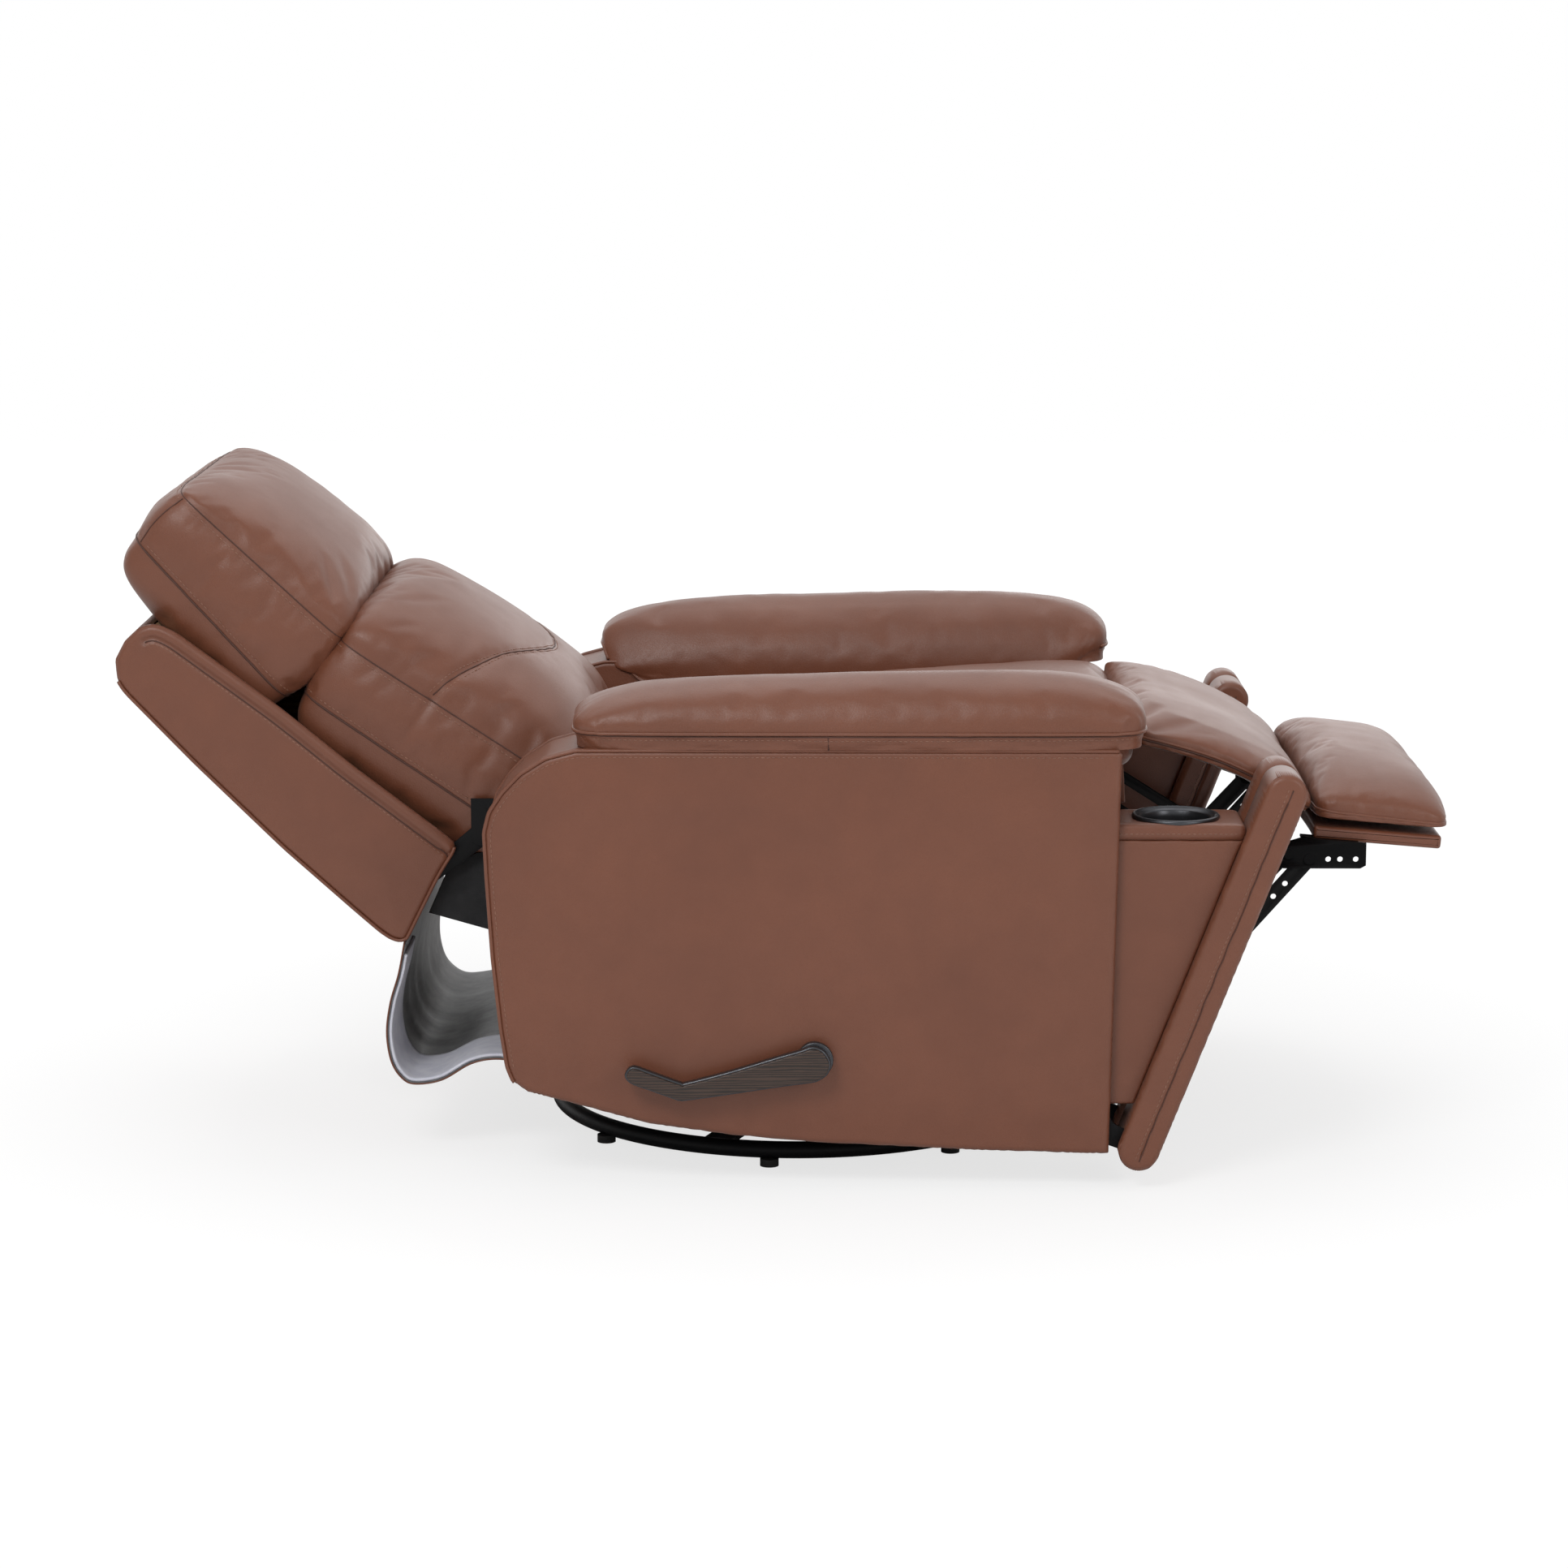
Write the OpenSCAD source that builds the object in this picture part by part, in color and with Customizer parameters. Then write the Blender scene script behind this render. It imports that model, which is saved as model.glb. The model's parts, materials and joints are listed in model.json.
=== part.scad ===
// Swivel glider recliner, shown fully reclined as in the photo.
// Frame: origin on the floor at the centre of the base ring, +X the sitter's
// forward, +Y the sitter's left, +Z up. All sizes in millimetres.

/* [Node] */
// Sub-part to draw

/* [Widths] */
// Half the room between the arms
room_w = 292; // [270:1:310]
// Width of an arm
arm_w = 143; // [120:1:160]
// Gap between an arm and the seat cushion
seat_gap = 9; // [6:0.5:14]
// Gap between an arm and the mechanism's outer face
mech_gap = 11; // [10:0.5:14]
// Gap between the planes of an arm and of the back's side
back_gap = 2; // [1:0.1:4]
// Gap between an arm and the footrest pad
foot_gap = 10; // [8:0.5:14]
// Gap between an arm and the chaise pad
chaise_gap = 11; // [8:0.5:14]
// Gap between an arm and the rear skirt
skirt_gap = 8; // [5:0.5:14]

/* [Base ring] */
// Radius of the ring, to the middle of its tube
ring_r = 318; // [300:1:340]
// Radius of the ring's tube
ring_tube_r = 11; // [8:0.5:14]
// Height of the tube's middle over the floor
ring_z = 21; // [18:0.5:28]
// Width of each spoke
spoke_w = 38; // [25:1:50]
// Thickness of each spoke
spoke_t = 7; // [4:0.5:10]
// Turn of the spokes about the swivel
spoke_turn = 70; // [0:1:89]
// Number of floor glides
glide_count = 8; // [4:1:12]
// Radius of a floor glide
glide_r = 12; // [8:0.5:16]
// Turn of the first floor glide
glide_turn = 39; // [0:1:45]
// Radius of the hub plate
hub_r = 78; // [60:1:100]
// Radius of the swivel bearing
bearing_r = 60; // [45:1:75]
// Height of each half of the swivel bearing
bearing_h = 12; // [8:0.5:16]
// Radius of the swivel pin
swivel_pin_r = 12; // [8:0.5:16]

/* [Glider] */
// Distance of the glide pivots from the swivel, fore and aft
glide_x = 190; // [150:1:220]
// Height of the upper glide pivots
glide_top_z = 195; // [180:1:210]
// Length of a glide link between its pivots
glide_link_l = 85; // [70:1:100]
// Width of a glide link
glide_link_w = 24; // [18:1:30]
// Thickness of the glide links and hanger plates
glide_t = 4; // [3:0.5:6]
// Inset of the glider's rails from the arms
glider_in = 112; // [100:1:130]
// Width of the glider's rails and posts
rail_w = 16; // [12:1:20]
// Height of the glider's rails
rail_h = 25; // [18:1:30]
// Radius of the glide pivot pins
glide_pin_r = 6; // [4:0.5:8]

/* [Legrest linkage] */
// Front pivot of the drive link on the side plate, X and Z
f1 = [342.3, 422.2];
// Pivot of the guide link on the side plate
f2 = [369.64, 453.48];
// Pivot between drive link and front link
k1 = [554.65, 281.82];
// Front pivot of the ottoman bracket
o1 = [652, 393];
// Rear pivot of the ottoman bracket
o2 = [625.54, 400.21];
// Tie link's pivot on the drive link
x1 = [526.02, 292.19];
// Guide link's pivot on the front link
x2 = [582.25, 318.58];
// Width of the links
link_w = 22; // [16:1:28]
// Width of the guide link, which passes close to a pin
guide_w = 15; // [12:0.5:18]
// Thickness of the links
link_t = 3; // [2:0.5:4]
// Distance between the planes of the links
link_pitch = 4; // [3:0.5:5]
// Radius of the link pins
pin_r = 4; // [3:0.5:5]
// Radius of the pin heads
pin_head_r = 7; // [6:0.5:9]
// Play of a pin in its hole
pin_play = 0.35; // [0.3:0.05:0.6]
// Extra play at the pivot that closes the tie link's loop
tie_play = 1.1; // [1:0.1:4]
// Extra play at the pivot that closes the guide link's loop
guide_play = 1.1; // [0.5:0.1:3]
// Extra play at the pivot that closes the drive rod's loop
rod_play = 1.5; // [1:0.1:3]
// Drive link's tail pivot, from its front pivot
tail = [12.17, 58.87];
// Drive rod's pivot on the crank, from the handle's axis
crank = [-7.29, 17.52];
// Spare hole positions on the ottoman bracket, from its front pivot
bracket_holes = [24, 39, 59];
// Radius of the spare holes
spare_hole_r = 3.6; // [2:0.1:5]
// Ottoman bracket, behind and ahead of its front pivot
bracket_x = [-40, 72];
// Ottoman bracket, below its front pivot
bracket_drop = 12; // [10:0.5:16]
// Depth of the bracket's flange under the board
flange_w = 30; // [15:1:50]

/* [Handle] */
// Handle's axis, X and Z
handle_at = [24, 173];
// Radius of the drive tube
tube_r = 9; // [7:0.5:12]
// Gap between the arm and the lever
lever_gap = 20; // [14:1:34]
// Thickness of the lever
lever_t = 16; // [12:1:20]
// Radius of the lever's round end
lever_end_r = 25; // [20:1:30]
// Length of the lever from its axis
lever_l = 231; // [200:1:260]
// Depth of the trim behind the lever
trim_t = 7; // [4:1:10]
// Radius of the boss behind the lever
boss_r = 28; // [22:1:34]

/* [Arms] */
// Thickness of the arm's walls
arm_wall = 12; // [9:1:18]
// Rear and front end of an arm
arm_x = [-384, 402];
// Lower and upper edge of an arm
arm_z = [48, 558];
// Lower edge of the arm's inner wall
arm_inner_z = 130; // [120:1:220]
// Overhang of an arm pad over each side of its arm
pad_over = 14.5; // [6:0.5:18]
// Rear and front end of an arm pad
pad_x = [-282, 442];
// Underside of an arm pad
pad_z = 558.4; // [540:0.1:580]
// Height of an arm pad at its crown
pad_h = 87; // [60:1:110]

/* [Tilt-out arm fronts] */
// Angle that the arm fronts are tilted open
tilt = 21.2; // [0:0.1:25]
// Hinge of an arm front, X and Z
tilt_hinge = [442, 50];
// Closed front panel, inner and outer face
panel_x = [404, 455];
// Front panel's lower and upper end when closed
panel_z = [22, 557.6];
// Overhang of the front panel over the arm's inner and outer face
panel_over = [1, 6];
// Height of the panel's slots for its straps, over the hinge
slot_h = 36; // [30:1:44]
// Gap between the bin and the arm's faces
bin_gap = 17; // [15:0.5:24]
// Level of the open bin's lid
bin_top = 462; // [430:1:480]
// Rear face of the open bin
bin_x = 384; // [360:1:395]
// Underside of the open bin
bin_low = 108; // [90:1:160]
// Thickness of the bin's walls
bin_wall = 9; // [6:1:14]
// Middle of the cup holder, X
cup_x = 474.5; // [460:0.5:490]
// Reach of the cup holder's rim past the bin's sides
cup_over = 0.5; // [0:0.1:3]
// Width of the cup holder's rim round its bore
cup_flange = 12; // [8:0.5:16]
// Depth of the cup holder
cup_depth = 74; // [50:1:90]
// Wall of the cup holder
cup_wall = 2; // [1:0.1:3]
// Half the height of the cup holder's rim
cup_lip = 3; // [2:0.1:5]

/* [Seat] */
// Middle of the seat cushion, X and Z
seat_at = [119, 541];
// Fall of the seat towards the back
seat_tilt = 3.5; // [0:0.1:8]
// Seat cushion's side: rear, front, underside and top
seat_side = [-300, 304, -46, 12];
// Seat cushion's middle: rear, front, underside and crown
seat_mid = [-311, 311.5, -46, 47];
// Rear and front end of the seat frame
seat_frame = [-188, 402];
// Inset of the seat frame from the cushion's side
seat_frame_in = 29; // [20:1:40]
// Height of the seat frame's rails
seat_rail_h = 26; // [18:1:34]
// Lower edge of the flap behind the seat, X and Z
flap_low = [-334, 352];
// Number of seat springs
spring_count = 5; // [3:1:7]

/* [Chaise and footrest] */
// Front end of the chaise pad
chaise_front = 655; // [640:1:670]
// Lowest and highest level of the chaise pad
chaise_z = [458, 602];
// Fall of the chaise pad's top at its sides
chaise_fall = 14; // [0:1:30]
// Middle of the footrest pad, X and Z
foot_at = [744, 446];
// Fall of the footrest towards its front
foot_tilt = 4.6; // [0:0.1:8]
// Footrest pad's side: rear, front, underside and top
foot_side = [-86, 87, -13, 14];
// Footrest pad's middle: rear, front, underside and crown
foot_mid = [-87, 90, -13, 72];
// Thickness of the footrest board
board_t = 20; // [12:1:26]

/* [Back] */
// Pivot of the back, X and Z
back_pivot = [-370, 440];
// Upper and lower end of the back's side
back_x = [-858, -430];
// Lowest and highest level of the back's side
back_z = [286, 694];
// Thickness of the back's wings
wing_t = 8; // [6:1:12]
// Thickness of the back's rear wall
back_wall = 12; // [8:1:18]
// Middle of the back cushion, X and Z
back_at = [-480, 554];
// Angle of the back cushion below the level
back_fall = 33.5; // [20:0.5:50]
// Back cushion's side: upper end, lower end, rear and front
back_side = [-134, 150, -84, 44];
// Back cushion's middle: upper end, lower end, rear and crown
back_mid = [-138, 200, -108, 146];
// Inset of the back cushion from the back's side
back_inset = 19; // [15:0.5:30]
// Upper and lower end of the board under the back cushion
back_board_u = [-90, 104];
// Middle of the headrest, X and Z
head_at = [-710, 733];
// Angle of the headrest below the level
head_fall = 45; // [30:0.5:60]
// Headrest's side: upper end, lower end, rear and front
head_side = [-136, 132, -85, 46];
// Headrest's middle: upper end, lower end, rear and crown
head_mid = [-141, 134, -104, 118];
// Inset of the headrest from the back's side
head_inset = 18; // [12:0.5:30]
// Upper and lower end of the board under the headrest
head_board_u = [-40, 108];
// Depth of the back's stiles, X and Z
stile_depth = [20, 26];
// Width of the back's stiles and cross rails
stile_w = 25; // [18:1:30]

/* [Skirt and dust cover] */
// Rear and front end of the skirt
skirt_x = [-525, -352];
// Lowest and highest level of the skirt
skirt_z = [96, 285.3];
// Depth of the skirt's hanging folds
skirt_fold = 5; // [0:0.5:10]
// Thickness of the skirt
skirt_t = 4; // [2:0.5:6]
// Rear edge of the dust cover, X and Z
dust_rear = [-470, 318];
// Fold of the dust cover behind its rail, X and Z
dust_fold = [-386, 294];

/* [Chassis] */
// Rear and front end of the chassis rails
rail_ends = [-330, 226];
// Rear and front end of the mechanism's side plates
side_plate_x = [-412, 398];
// Lower and upper edge of the side plates
side_plate_z = [400, 486];
// Rear and front end of the arm fronts' straps
strap_x = [340, 451];
// Lower and upper end of the straps
strap_z = [41, 160];
// Thickness of the straps
strap_t = 4; // [3:0.5:5]
// Rear and front end of the back's hinge arms
hinge_arm_x = [-528, -352];
// Lower and upper end of the hinge arms
hinge_arm_z = [326, 460];

/* [Hidden] */
$fn = 40;
play = 0.3;

near = -1;
far = 1;

// Faces that follow the widths, counted from the middle
arm_y = [room_w, room_w + arm_w];
mech_y = room_w - mech_gap;
seat_w = room_w - seat_gap;
seat_frame_w = seat_w - seat_frame_in;
foot_w = room_w - foot_gap;
chaise_w = room_w - chaise_gap;
back_w = room_w - back_gap;
back_cushion_w = back_w - back_inset;
head_w = back_w - head_inset;
skirt_w = room_w - skirt_gap;
pad_w = arm_w + 2 * pad_over;
pad_y = room_w + arm_w / 2;
panel_y = [arm_y[0] - panel_over[0], arm_y[1] + panel_over[1]];
bin_y = [arm_y[0] + bin_gap, arm_y[1] - bin_gap];
cup_rim_r = (bin_y[1] - bin_y[0]) / 2 + cup_over;
cup_r = cup_rim_r - cup_flange;
rail_y = room_w - glider_in;
lever_y = arm_y[1] + lever_gap;

// Outlines as shares of the room between two ends in X and two levels in Z
arm_outline_shares = [[0.145, 1], [0.097, 0.98], [0.057, 0.941], [0.028, 0.894], [0.008, 0.847],
    [0, 0.798], [0.003, 0.69], [0.011, 0.49], [0.023, 0.308], [0.032, 0.216], [0.041, 0.18],
    [0.064, 0.153], [0.128, 0.127], [0.257, 0.073], [0.387, 0.045], [0.515, 0.027],
    [0.644, 0.018], [0.774, 0.008], [0.953, 0], [0.987, 0], [1, 0.992], [0.995, 1]];
back_outline_shares = [[0.843, 0], [0.944, 0.211], [1, 0.304], [0.965, 0.338], [0.696, 0.554],
    [0.486, 0.735], [0.262, 0.909], [0.18, 0.973], [0.121, 1], [0.075, 0.99], [0.03, 0.946],
    [0, 0.887], [0.005, 0.824], [0.028, 0.787], [0.229, 0.566], [0.488, 0.297], [0.696, 0.1],
    [0.773, 0.029], [0.808, 0.005]];
skirt_near_shares = [[0.156, 1], [0.104, 0.777], [0.035, 0.576], [0, 0.365], [0.029, 0.164],
    [0.11, 0.042], [0.214, 0], [0.416, 0.032], [0.63, 0.148], [0.809, 0.185], [1, 0.169]];
skirt_far_shares = [[0.156, 1], [0.145, 0.777], [0.116, 0.576], [0.11, 0.391], [0.15, 0.232],
    [0.237, 0.137], [0.341, 0.095], [0.491, 0.106], [0.653, 0.137], [0.809, 0.164], [1, 0.169]];
chaise_top_shares = [[0, 0.993], [0.035, 1], [0.071, 1], [0.2, 0.94], [0.38, 0.854],
    [0.567, 0.75], [0.727, 0.611], [0.861, 0.444], [0.955, 0.278], [1, 0.125]];
chaise_under_shares = [[0.991, 0], [0.937, 0.028], [0.826, 0.153], [0.71, 0.25], [0.576, 0.361],
    [0.455, 0.438], [0.308, 0.514], [0.178, 0.569], [0.04, 0.597], [0, 0.639]];
side_plate_shares = [[0, 0.81], [0, 0.17], [0.033, 0], [0.163, 0.23], [0.879, 0.09],
    [0.916, 0.05], [0.956, 0.14], [0.993, 0.53], [1, 0.84], [0.978, 1], [0.928, 1],
    [0.163, 0.72], [0.101, 0.81]];
spacer_shares = [[0.126, 0.52], [0.435, 0.47], [0.743, 0.52]];
cleat_shares = [0.305, 0.521, 0.743];
strap_shares = [[0, 1], [0, 0.429], [0.324, 0.176], [0.829, 0.008], [0.919, 0], [0.991, 0.042],
    [1, 0.092], [0.955, 0.143], [0.523, 0.361], [0.324, 0.664], [0.288, 1]];
hinge_arm_shares = [[1, 0.896], [0.943, 0.985], [0.852, 1], [0.131, 0.194], [0, 0.149],
    [0.045, 0], [0.159, 0.03], [0.841, 0.701], [0.966, 0.731]];
// Timber in an arm: shares of the arm's length
arm_frame_shares = [0.175, 0.768];
// Lever's outline: shares of its length
lever_shares = [[0.026, 0.105], [-0.052, 0.095], [-0.173, 0.035], [-0.346, -0.043],
    [-0.511, -0.095], [-0.632, -0.095], [-0.745, -0.061], [-0.887, -0.009], [-0.961, -0.009],
    [-1, -0.043], [-0.991, -0.087], [-0.9, -0.143], [-0.762, -0.216], [-0.684, -0.247],
    [-0.597, -0.251], [-0.433, -0.225], [-0.26, -0.177], [-0.104, -0.117], [0, -0.108]];
// Spare holes of a front link: shares of its length
spare_shares = [0.55, 0.7];
// Arm pad's side panel: shares of the pad's width and height
pad_side_share = 0.34;
pad_band_share = 0.3;
// Bend of the seat's rear flap: share of the way to its lower edge
flap_bend_share = 0.8;
// Shift of the back's hollow: share of its rear wall, which slants
tray_share = 1.1;

// Points for shares p of the room between the ends x and the levels z
function place(p, x, z) = [x[0] + (x[1] - x[0]) * p[0], z[0] + (z[1] - z[0]) * p[1]];
function placed(shares, x, z) = [for (p = shares) place(p, x, z)];

arm_outline = placed(arm_outline_shares, arm_x, arm_z);
back_outline = placed(back_outline_shares, back_x, back_z);
skirt_near = placed(skirt_near_shares, skirt_x, skirt_z);
skirt_far = placed(skirt_far_shares, skirt_x, skirt_z);
hub_z = ring_z + spoke_t / 2;
race_z = hub_z + spoke_t;
plate_z = race_z + 2 * bearing_h + play;
rail_z = plate_z + glide_t;
glide_low_z = glide_top_z - glide_link_l;
link_y = rail_y + rail_w + play;
hanger_y = link_y + glide_t + play;
hanger_rail_z = glide_top_z + rail_w;

leather = [0.48, 0.33, 0.26];
steel = [0.16, 0.16, 0.17];
gunmetal = [0.35, 0.37, 0.40];
dark_wood = [0.12, 0.07, 0.05];
timber = [0.62, 0.47, 0.30];
cloth = [0.12, 0.12, 0.13];

// Turns a point clockwise, as seen from the sitter's right
function cw(p, a) = [p[0] * cos(a) + p[1] * sin(a), -p[0] * sin(a) + p[1] * cos(a)];
function unit(p) = p / norm(p);
tail_at = f1 + tail;
crank_at = handle_at + crank;

// Y of the outer face of link plane i, plane 1 being the outermost
function plane_y(i) = mech_y - (i - 1) * link_pitch;

// Signed power, for superellipses
function spow(v, e) = sign(v) * pow(abs(v), e);

// One ring of a cushion: a superellipse that fills the box [u0, u1, v0, v1]
function ring(box, n, count) = [for (i = [0 : count - 1])
    let (a = 360 * (i + 0.5) / count, e = 2 / n, full = spow(cos(180 / count), e),
         cu = (box[0] + box[1]) / 2, hu = (box[1] - box[0]) / 2 / full,
         cv = (box[2] + box[3]) / 2, hv = (box[3] - box[2]) / 2 / full)
    [cu + hu * spow(cos(a), e), cv + hv * spow(sin(a), e)]];

// Share of the full crown at station s, -1 to 1
function crown(s, p) = pow(max(0, 1 - pow(abs(s), p)), 1 / p);

// Closed surface through rings of equal, even length, flat at both ends
module loft(rings) {
    n = len(rings[0]);
    m = len(rings);
    points = [for (r = rings) for (p = r) p];
    sides = [for (j = [0 : m - 2]) for (i = [0 : n - 1])
        each [[j * n + i, j * n + (i + 1) % n, (j + 1) * n + (i + 1) % n],
              [j * n + i, (j + 1) * n + (i + 1) % n, (j + 1) * n + i]]];
    last = (m - 1) * n;
    caps = [for (i = [0 : n / 2 - 2]) each [[i + 1, i, n - 1 - i], [i + 1, n - 1 - i, n - 2 - i],
        [last + i, last + i + 1, last + n - 2 - i], [last + i, last + n - 2 - i, last + n - 1 - i]]];
    polyhedron(points, concat(sides, caps), convexity = 4);
}

// Cushion between side boxings: side and mid are boxes, w half the width
module cushion(side, mid, w, n = 3.2, p = 2.4, count = 24, steps = 7) {
    stations = [for (k = [-steps : steps]) sin(90 * k / steps)];
    loft([for (s = stations)
        [for (q = ring(side + (mid - side) * crown(s, p), n, count)) [q[0], s * w, q[1]]]]);
}

// Extrudes a flat shape in X and Z to a link in plane i on side s
module link_plate(i, s)
    translate([0, s > 0 ? plane_y(i) : link_t - plane_y(i), 0])
        rotate([90, 0, 0]) linear_extrude(link_t) children();

// Flat strip from a to b, w wide, with square ends
module strip(a, b, w) {
    d = b - a;
    translate(a) rotate(atan2(d[1], d[0])) translate([0, -w / 2]) square([norm(d), w]);
}

// Bar from a to b with round ends, its outer face at plane i, on side s
module bar(a, b, i, s, w = link_w) link_plate(i, s) union() {
    strip(a, b, w);
    for (p = [a, b]) translate(p) circle(w / 2);
}

// Round solid along Y at p, from y0 to y1 on side s
module round_y(p, y0, y1, r, s) {
    translate([p[0], s > 0 ? y0 : -y1, p[1]]) rotate([-90, 0, 0]) cylinder(h = y1 - y0, r = r);
}

// Flat outline in X and Z, extruded from y0 to y1 on side s
module plate_y(outline, y0, y1, s) {
    translate([0, s > 0 ? y1 : -y0, 0]) rotate([90, 0, 0]) linear_extrude(y1 - y0) polygon(outline);
}

// Box from corner a to corner b
module box(a, b) {
    translate(a) cube(b - a);
}

// Box on side s, its Y counted from the middle
module side_box(a, b, s) {
    if (s > 0) box(a, b);
    else box([a[0], -b[1], a[2]], [b[0], -a[1], b[2]]);
}

// Places the closed arm front's parts at their open angle
module tilted() {
    translate([tilt_hinge[0], 0, tilt_hinge[1]]) rotate([0, tilt, 0])
        translate([-tilt_hinge[0], 0, -tilt_hinge[1]]) children();
}

module base_ring() color(steel)
    translate([0, 0, ring_z]) rotate_extrude($fn = 96) translate([ring_r, 0]) circle(ring_tube_r, $fn = 32);

module ring_spokes() color(steel) difference() {
    union() for (i = [0 : 3]) rotate([0, 0, spoke_turn + 90 * i])
        translate([bearing_r / 2, -spoke_w / 2, ring_z - spoke_t / 2])
            cube([ring_r - bearing_r / 2, spoke_w, spoke_t]);
    translate([0, 0, ring_z]) rotate_extrude($fn = 96) translate([ring_r, 0])
        circle(ring_tube_r + play, $fn = 32);
    cylinder(h = race_z, r = swivel_pin_r + play);
}

module ring_glides() color([0.09, 0.09, 0.09])
    for (i = [0 : glide_count - 1]) rotate([0, 0, glide_turn + 360 * i / glide_count])
        translate([ring_r, 0, 0]) cylinder(h = ring_z - ring_tube_r - play, r = glide_r);

module swivel_hub() color(steel) difference() {
    union() {
        translate([0, 0, hub_z]) cylinder(h = spoke_t, r = hub_r);
        translate([0, 0, race_z]) cylinder(h = bearing_h, r = bearing_r);
    }
    cylinder(h = plate_z, r = swivel_pin_r + play);
}

module swivel_plate() color(steel) {
    translate([0, 0, race_z + bearing_h + play]) cylinder(h = bearing_h, r = bearing_r);
    translate([0, 0, plate_z]) cylinder(h = glide_t, r = hub_r + spoke_w);
    translate([0, 0, ring_z - spoke_t]) cylinder(h = plate_z - ring_z, r = swivel_pin_r);
    translate([0, 0, ring_z - 2 * spoke_t]) cylinder(h = spoke_t, r = swivel_pin_r + spoke_t);
}

module glider_frame() color(steel) difference() {
    union() {
        for (s = [near, far]) {
            side_box([-glide_x - rail_w, rail_y, rail_z],
                [glide_x + rail_w, rail_y + rail_w, rail_z + rail_h], s);
            for (x = [-glide_x, glide_x]) {
                side_box([x - rail_w / 2, rail_y, rail_z + rail_h],
                    [x + rail_w / 2, rail_y + rail_w, glide_top_z], s);
                round_y([x, glide_top_z], rail_y, rail_y + rail_w, rail_w / 2 + pin_r, s);
            }
        }
        for (x = [-hub_r, hub_r])
            box([x - rail_w, -rail_y, rail_z], [x + rail_w, rail_y, rail_z + rail_h]);
    }
    for (s = [near, far]) for (x = [-glide_x, glide_x])
        round_y([x, glide_top_z], rail_y - play, rail_y + rail_w + play, glide_pin_r + pin_play, s);
}

// Pair of glide links at x, with the pins of both their pivots
module glide_links(x) color(steel) for (s = [near, far]) {
    y0 = s > 0 ? link_y : -link_y - glide_t;
    translate([x, y0 + glide_t, glide_low_z]) rotate([90, 0, 0]) linear_extrude(glide_t) union() {
        circle(glide_link_w / 2);
        translate([0, glide_link_l]) circle(glide_link_w / 2);
        translate([-glide_link_w / 2, 0]) square([glide_link_w, glide_link_l]);
    }
    round_y([x, glide_top_z], rail_y - glide_t, link_y + glide_t / 2, glide_pin_r, s);
    round_y([x, glide_low_z], link_y + glide_t / 2, hanger_y + 2 * glide_t, glide_pin_r, s);
    round_y([x, glide_top_z], rail_y - 2 * glide_t, rail_y - play, glide_pin_r + glide_t, s);
    round_y([x, glide_low_z], hanger_y + glide_t + play, hanger_y + 2 * glide_t, glide_pin_r + glide_t, s);
}

module front_glide_links() glide_links(glide_x);

module rear_glide_links() glide_links(-glide_x);

// Rails that join the arms and carry the hanger plates, each a bar of its own
module chassis_rails() color(steel) {
    cross_z = hanger_rail_z + rail_h + play;
    for (s = [near, far])
        side_box([rail_ends[0] + play, hanger_y, hanger_rail_z],
            [rail_ends[1], hanger_y + rail_w, cross_z - play], s);
    for (x = [rail_ends[0] + play, rail_ends[1] - rail_h])
        box([x, -arm_y[0] + play, cross_z], [x + rail_h, arm_y[0] - play, cross_z + rail_h]);
    // Rear drop rail that the skirt and the dust cover are fixed to
    drop_z = skirt_near[len(skirt_near) - 1][1] + skirt_t / 2 + play;
    box([rail_ends[0] - rail_h, -arm_y[0] + play, drop_z], [rail_ends[0], arm_y[0] - play, drop_z + rail_h]);
    for (s = [near, far])
        side_box([rail_ends[0] - rail_w, hanger_y, drop_z + rail_h + play],
            [rail_ends[0], hanger_y + rail_w, cross_z + rail_h], s);
}

module hanger_plates() color(steel) for (s = [near, far]) for (x = [-glide_x, glide_x]) difference() {
    plate_y([[x - glide_link_w, hanger_rail_z - play], [x - glide_link_w / 2, glide_low_z],
        [x - glide_link_w / 2, glide_low_z - glide_link_w / 2],
        [x + glide_link_w / 2, glide_low_z - glide_link_w / 2],
        [x + glide_link_w / 2, glide_low_z], [x + glide_link_w, hanger_rail_z - play]],
        hanger_y, hanger_y + glide_t, s);
    round_y([x, glide_low_z], hanger_y - play, hanger_y + glide_t + play, glide_pin_r + pin_play, s);
}

// Side plates of the mechanism, bolted through spacers to the arms
seat_under = seat_side[2] - play;
module mech_side_plates() color(steel) for (s = [near, far]) {
    difference() {
        plate_y(placed(side_plate_shares, side_plate_x, side_plate_z), mech_y - link_t, mech_y, s);
        round_y(f1, mech_y - link_pitch, mech_y + play, pin_r + pin_play, s);
        round_y(back_pivot, mech_y - link_pitch, mech_y + play, glide_pin_r + pin_play, s);
    }
    // Guide link's pin and its head
    round_y(f2, plane_y(3) + play, mech_y - link_t / 2, pin_r, s);
    round_y(f2, plane_y(3) + play, plane_y(2) - link_t - play, pin_head_r, s);
    for (p = placed(spacer_shares, side_plate_x, side_plate_z))
        round_y(p, mech_y - link_t / 2, arm_y[0] - play, pin_head_r, s);
}

// Cleats from the side plates to the seat frame's rails
module seat_cleats() color(steel) for (s = [near, far]) for (share = cleat_shares) seat_tilted() {
    u = place([share, 0], side_plate_x, side_plate_z)[0] - seat_at[0];
    side_box([u - rail_h, seat_frame_w - rail_w, seat_under - seat_rail_h - play - glide_t],
        [u + rail_h, mech_y - link_t - play, seat_under - seat_rail_h - play], s);
}

module seat_tilted() {
    translate([seat_at[0], 0, seat_at[1]]) rotate([0, -seat_tilt, 0]) children();
}

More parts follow.
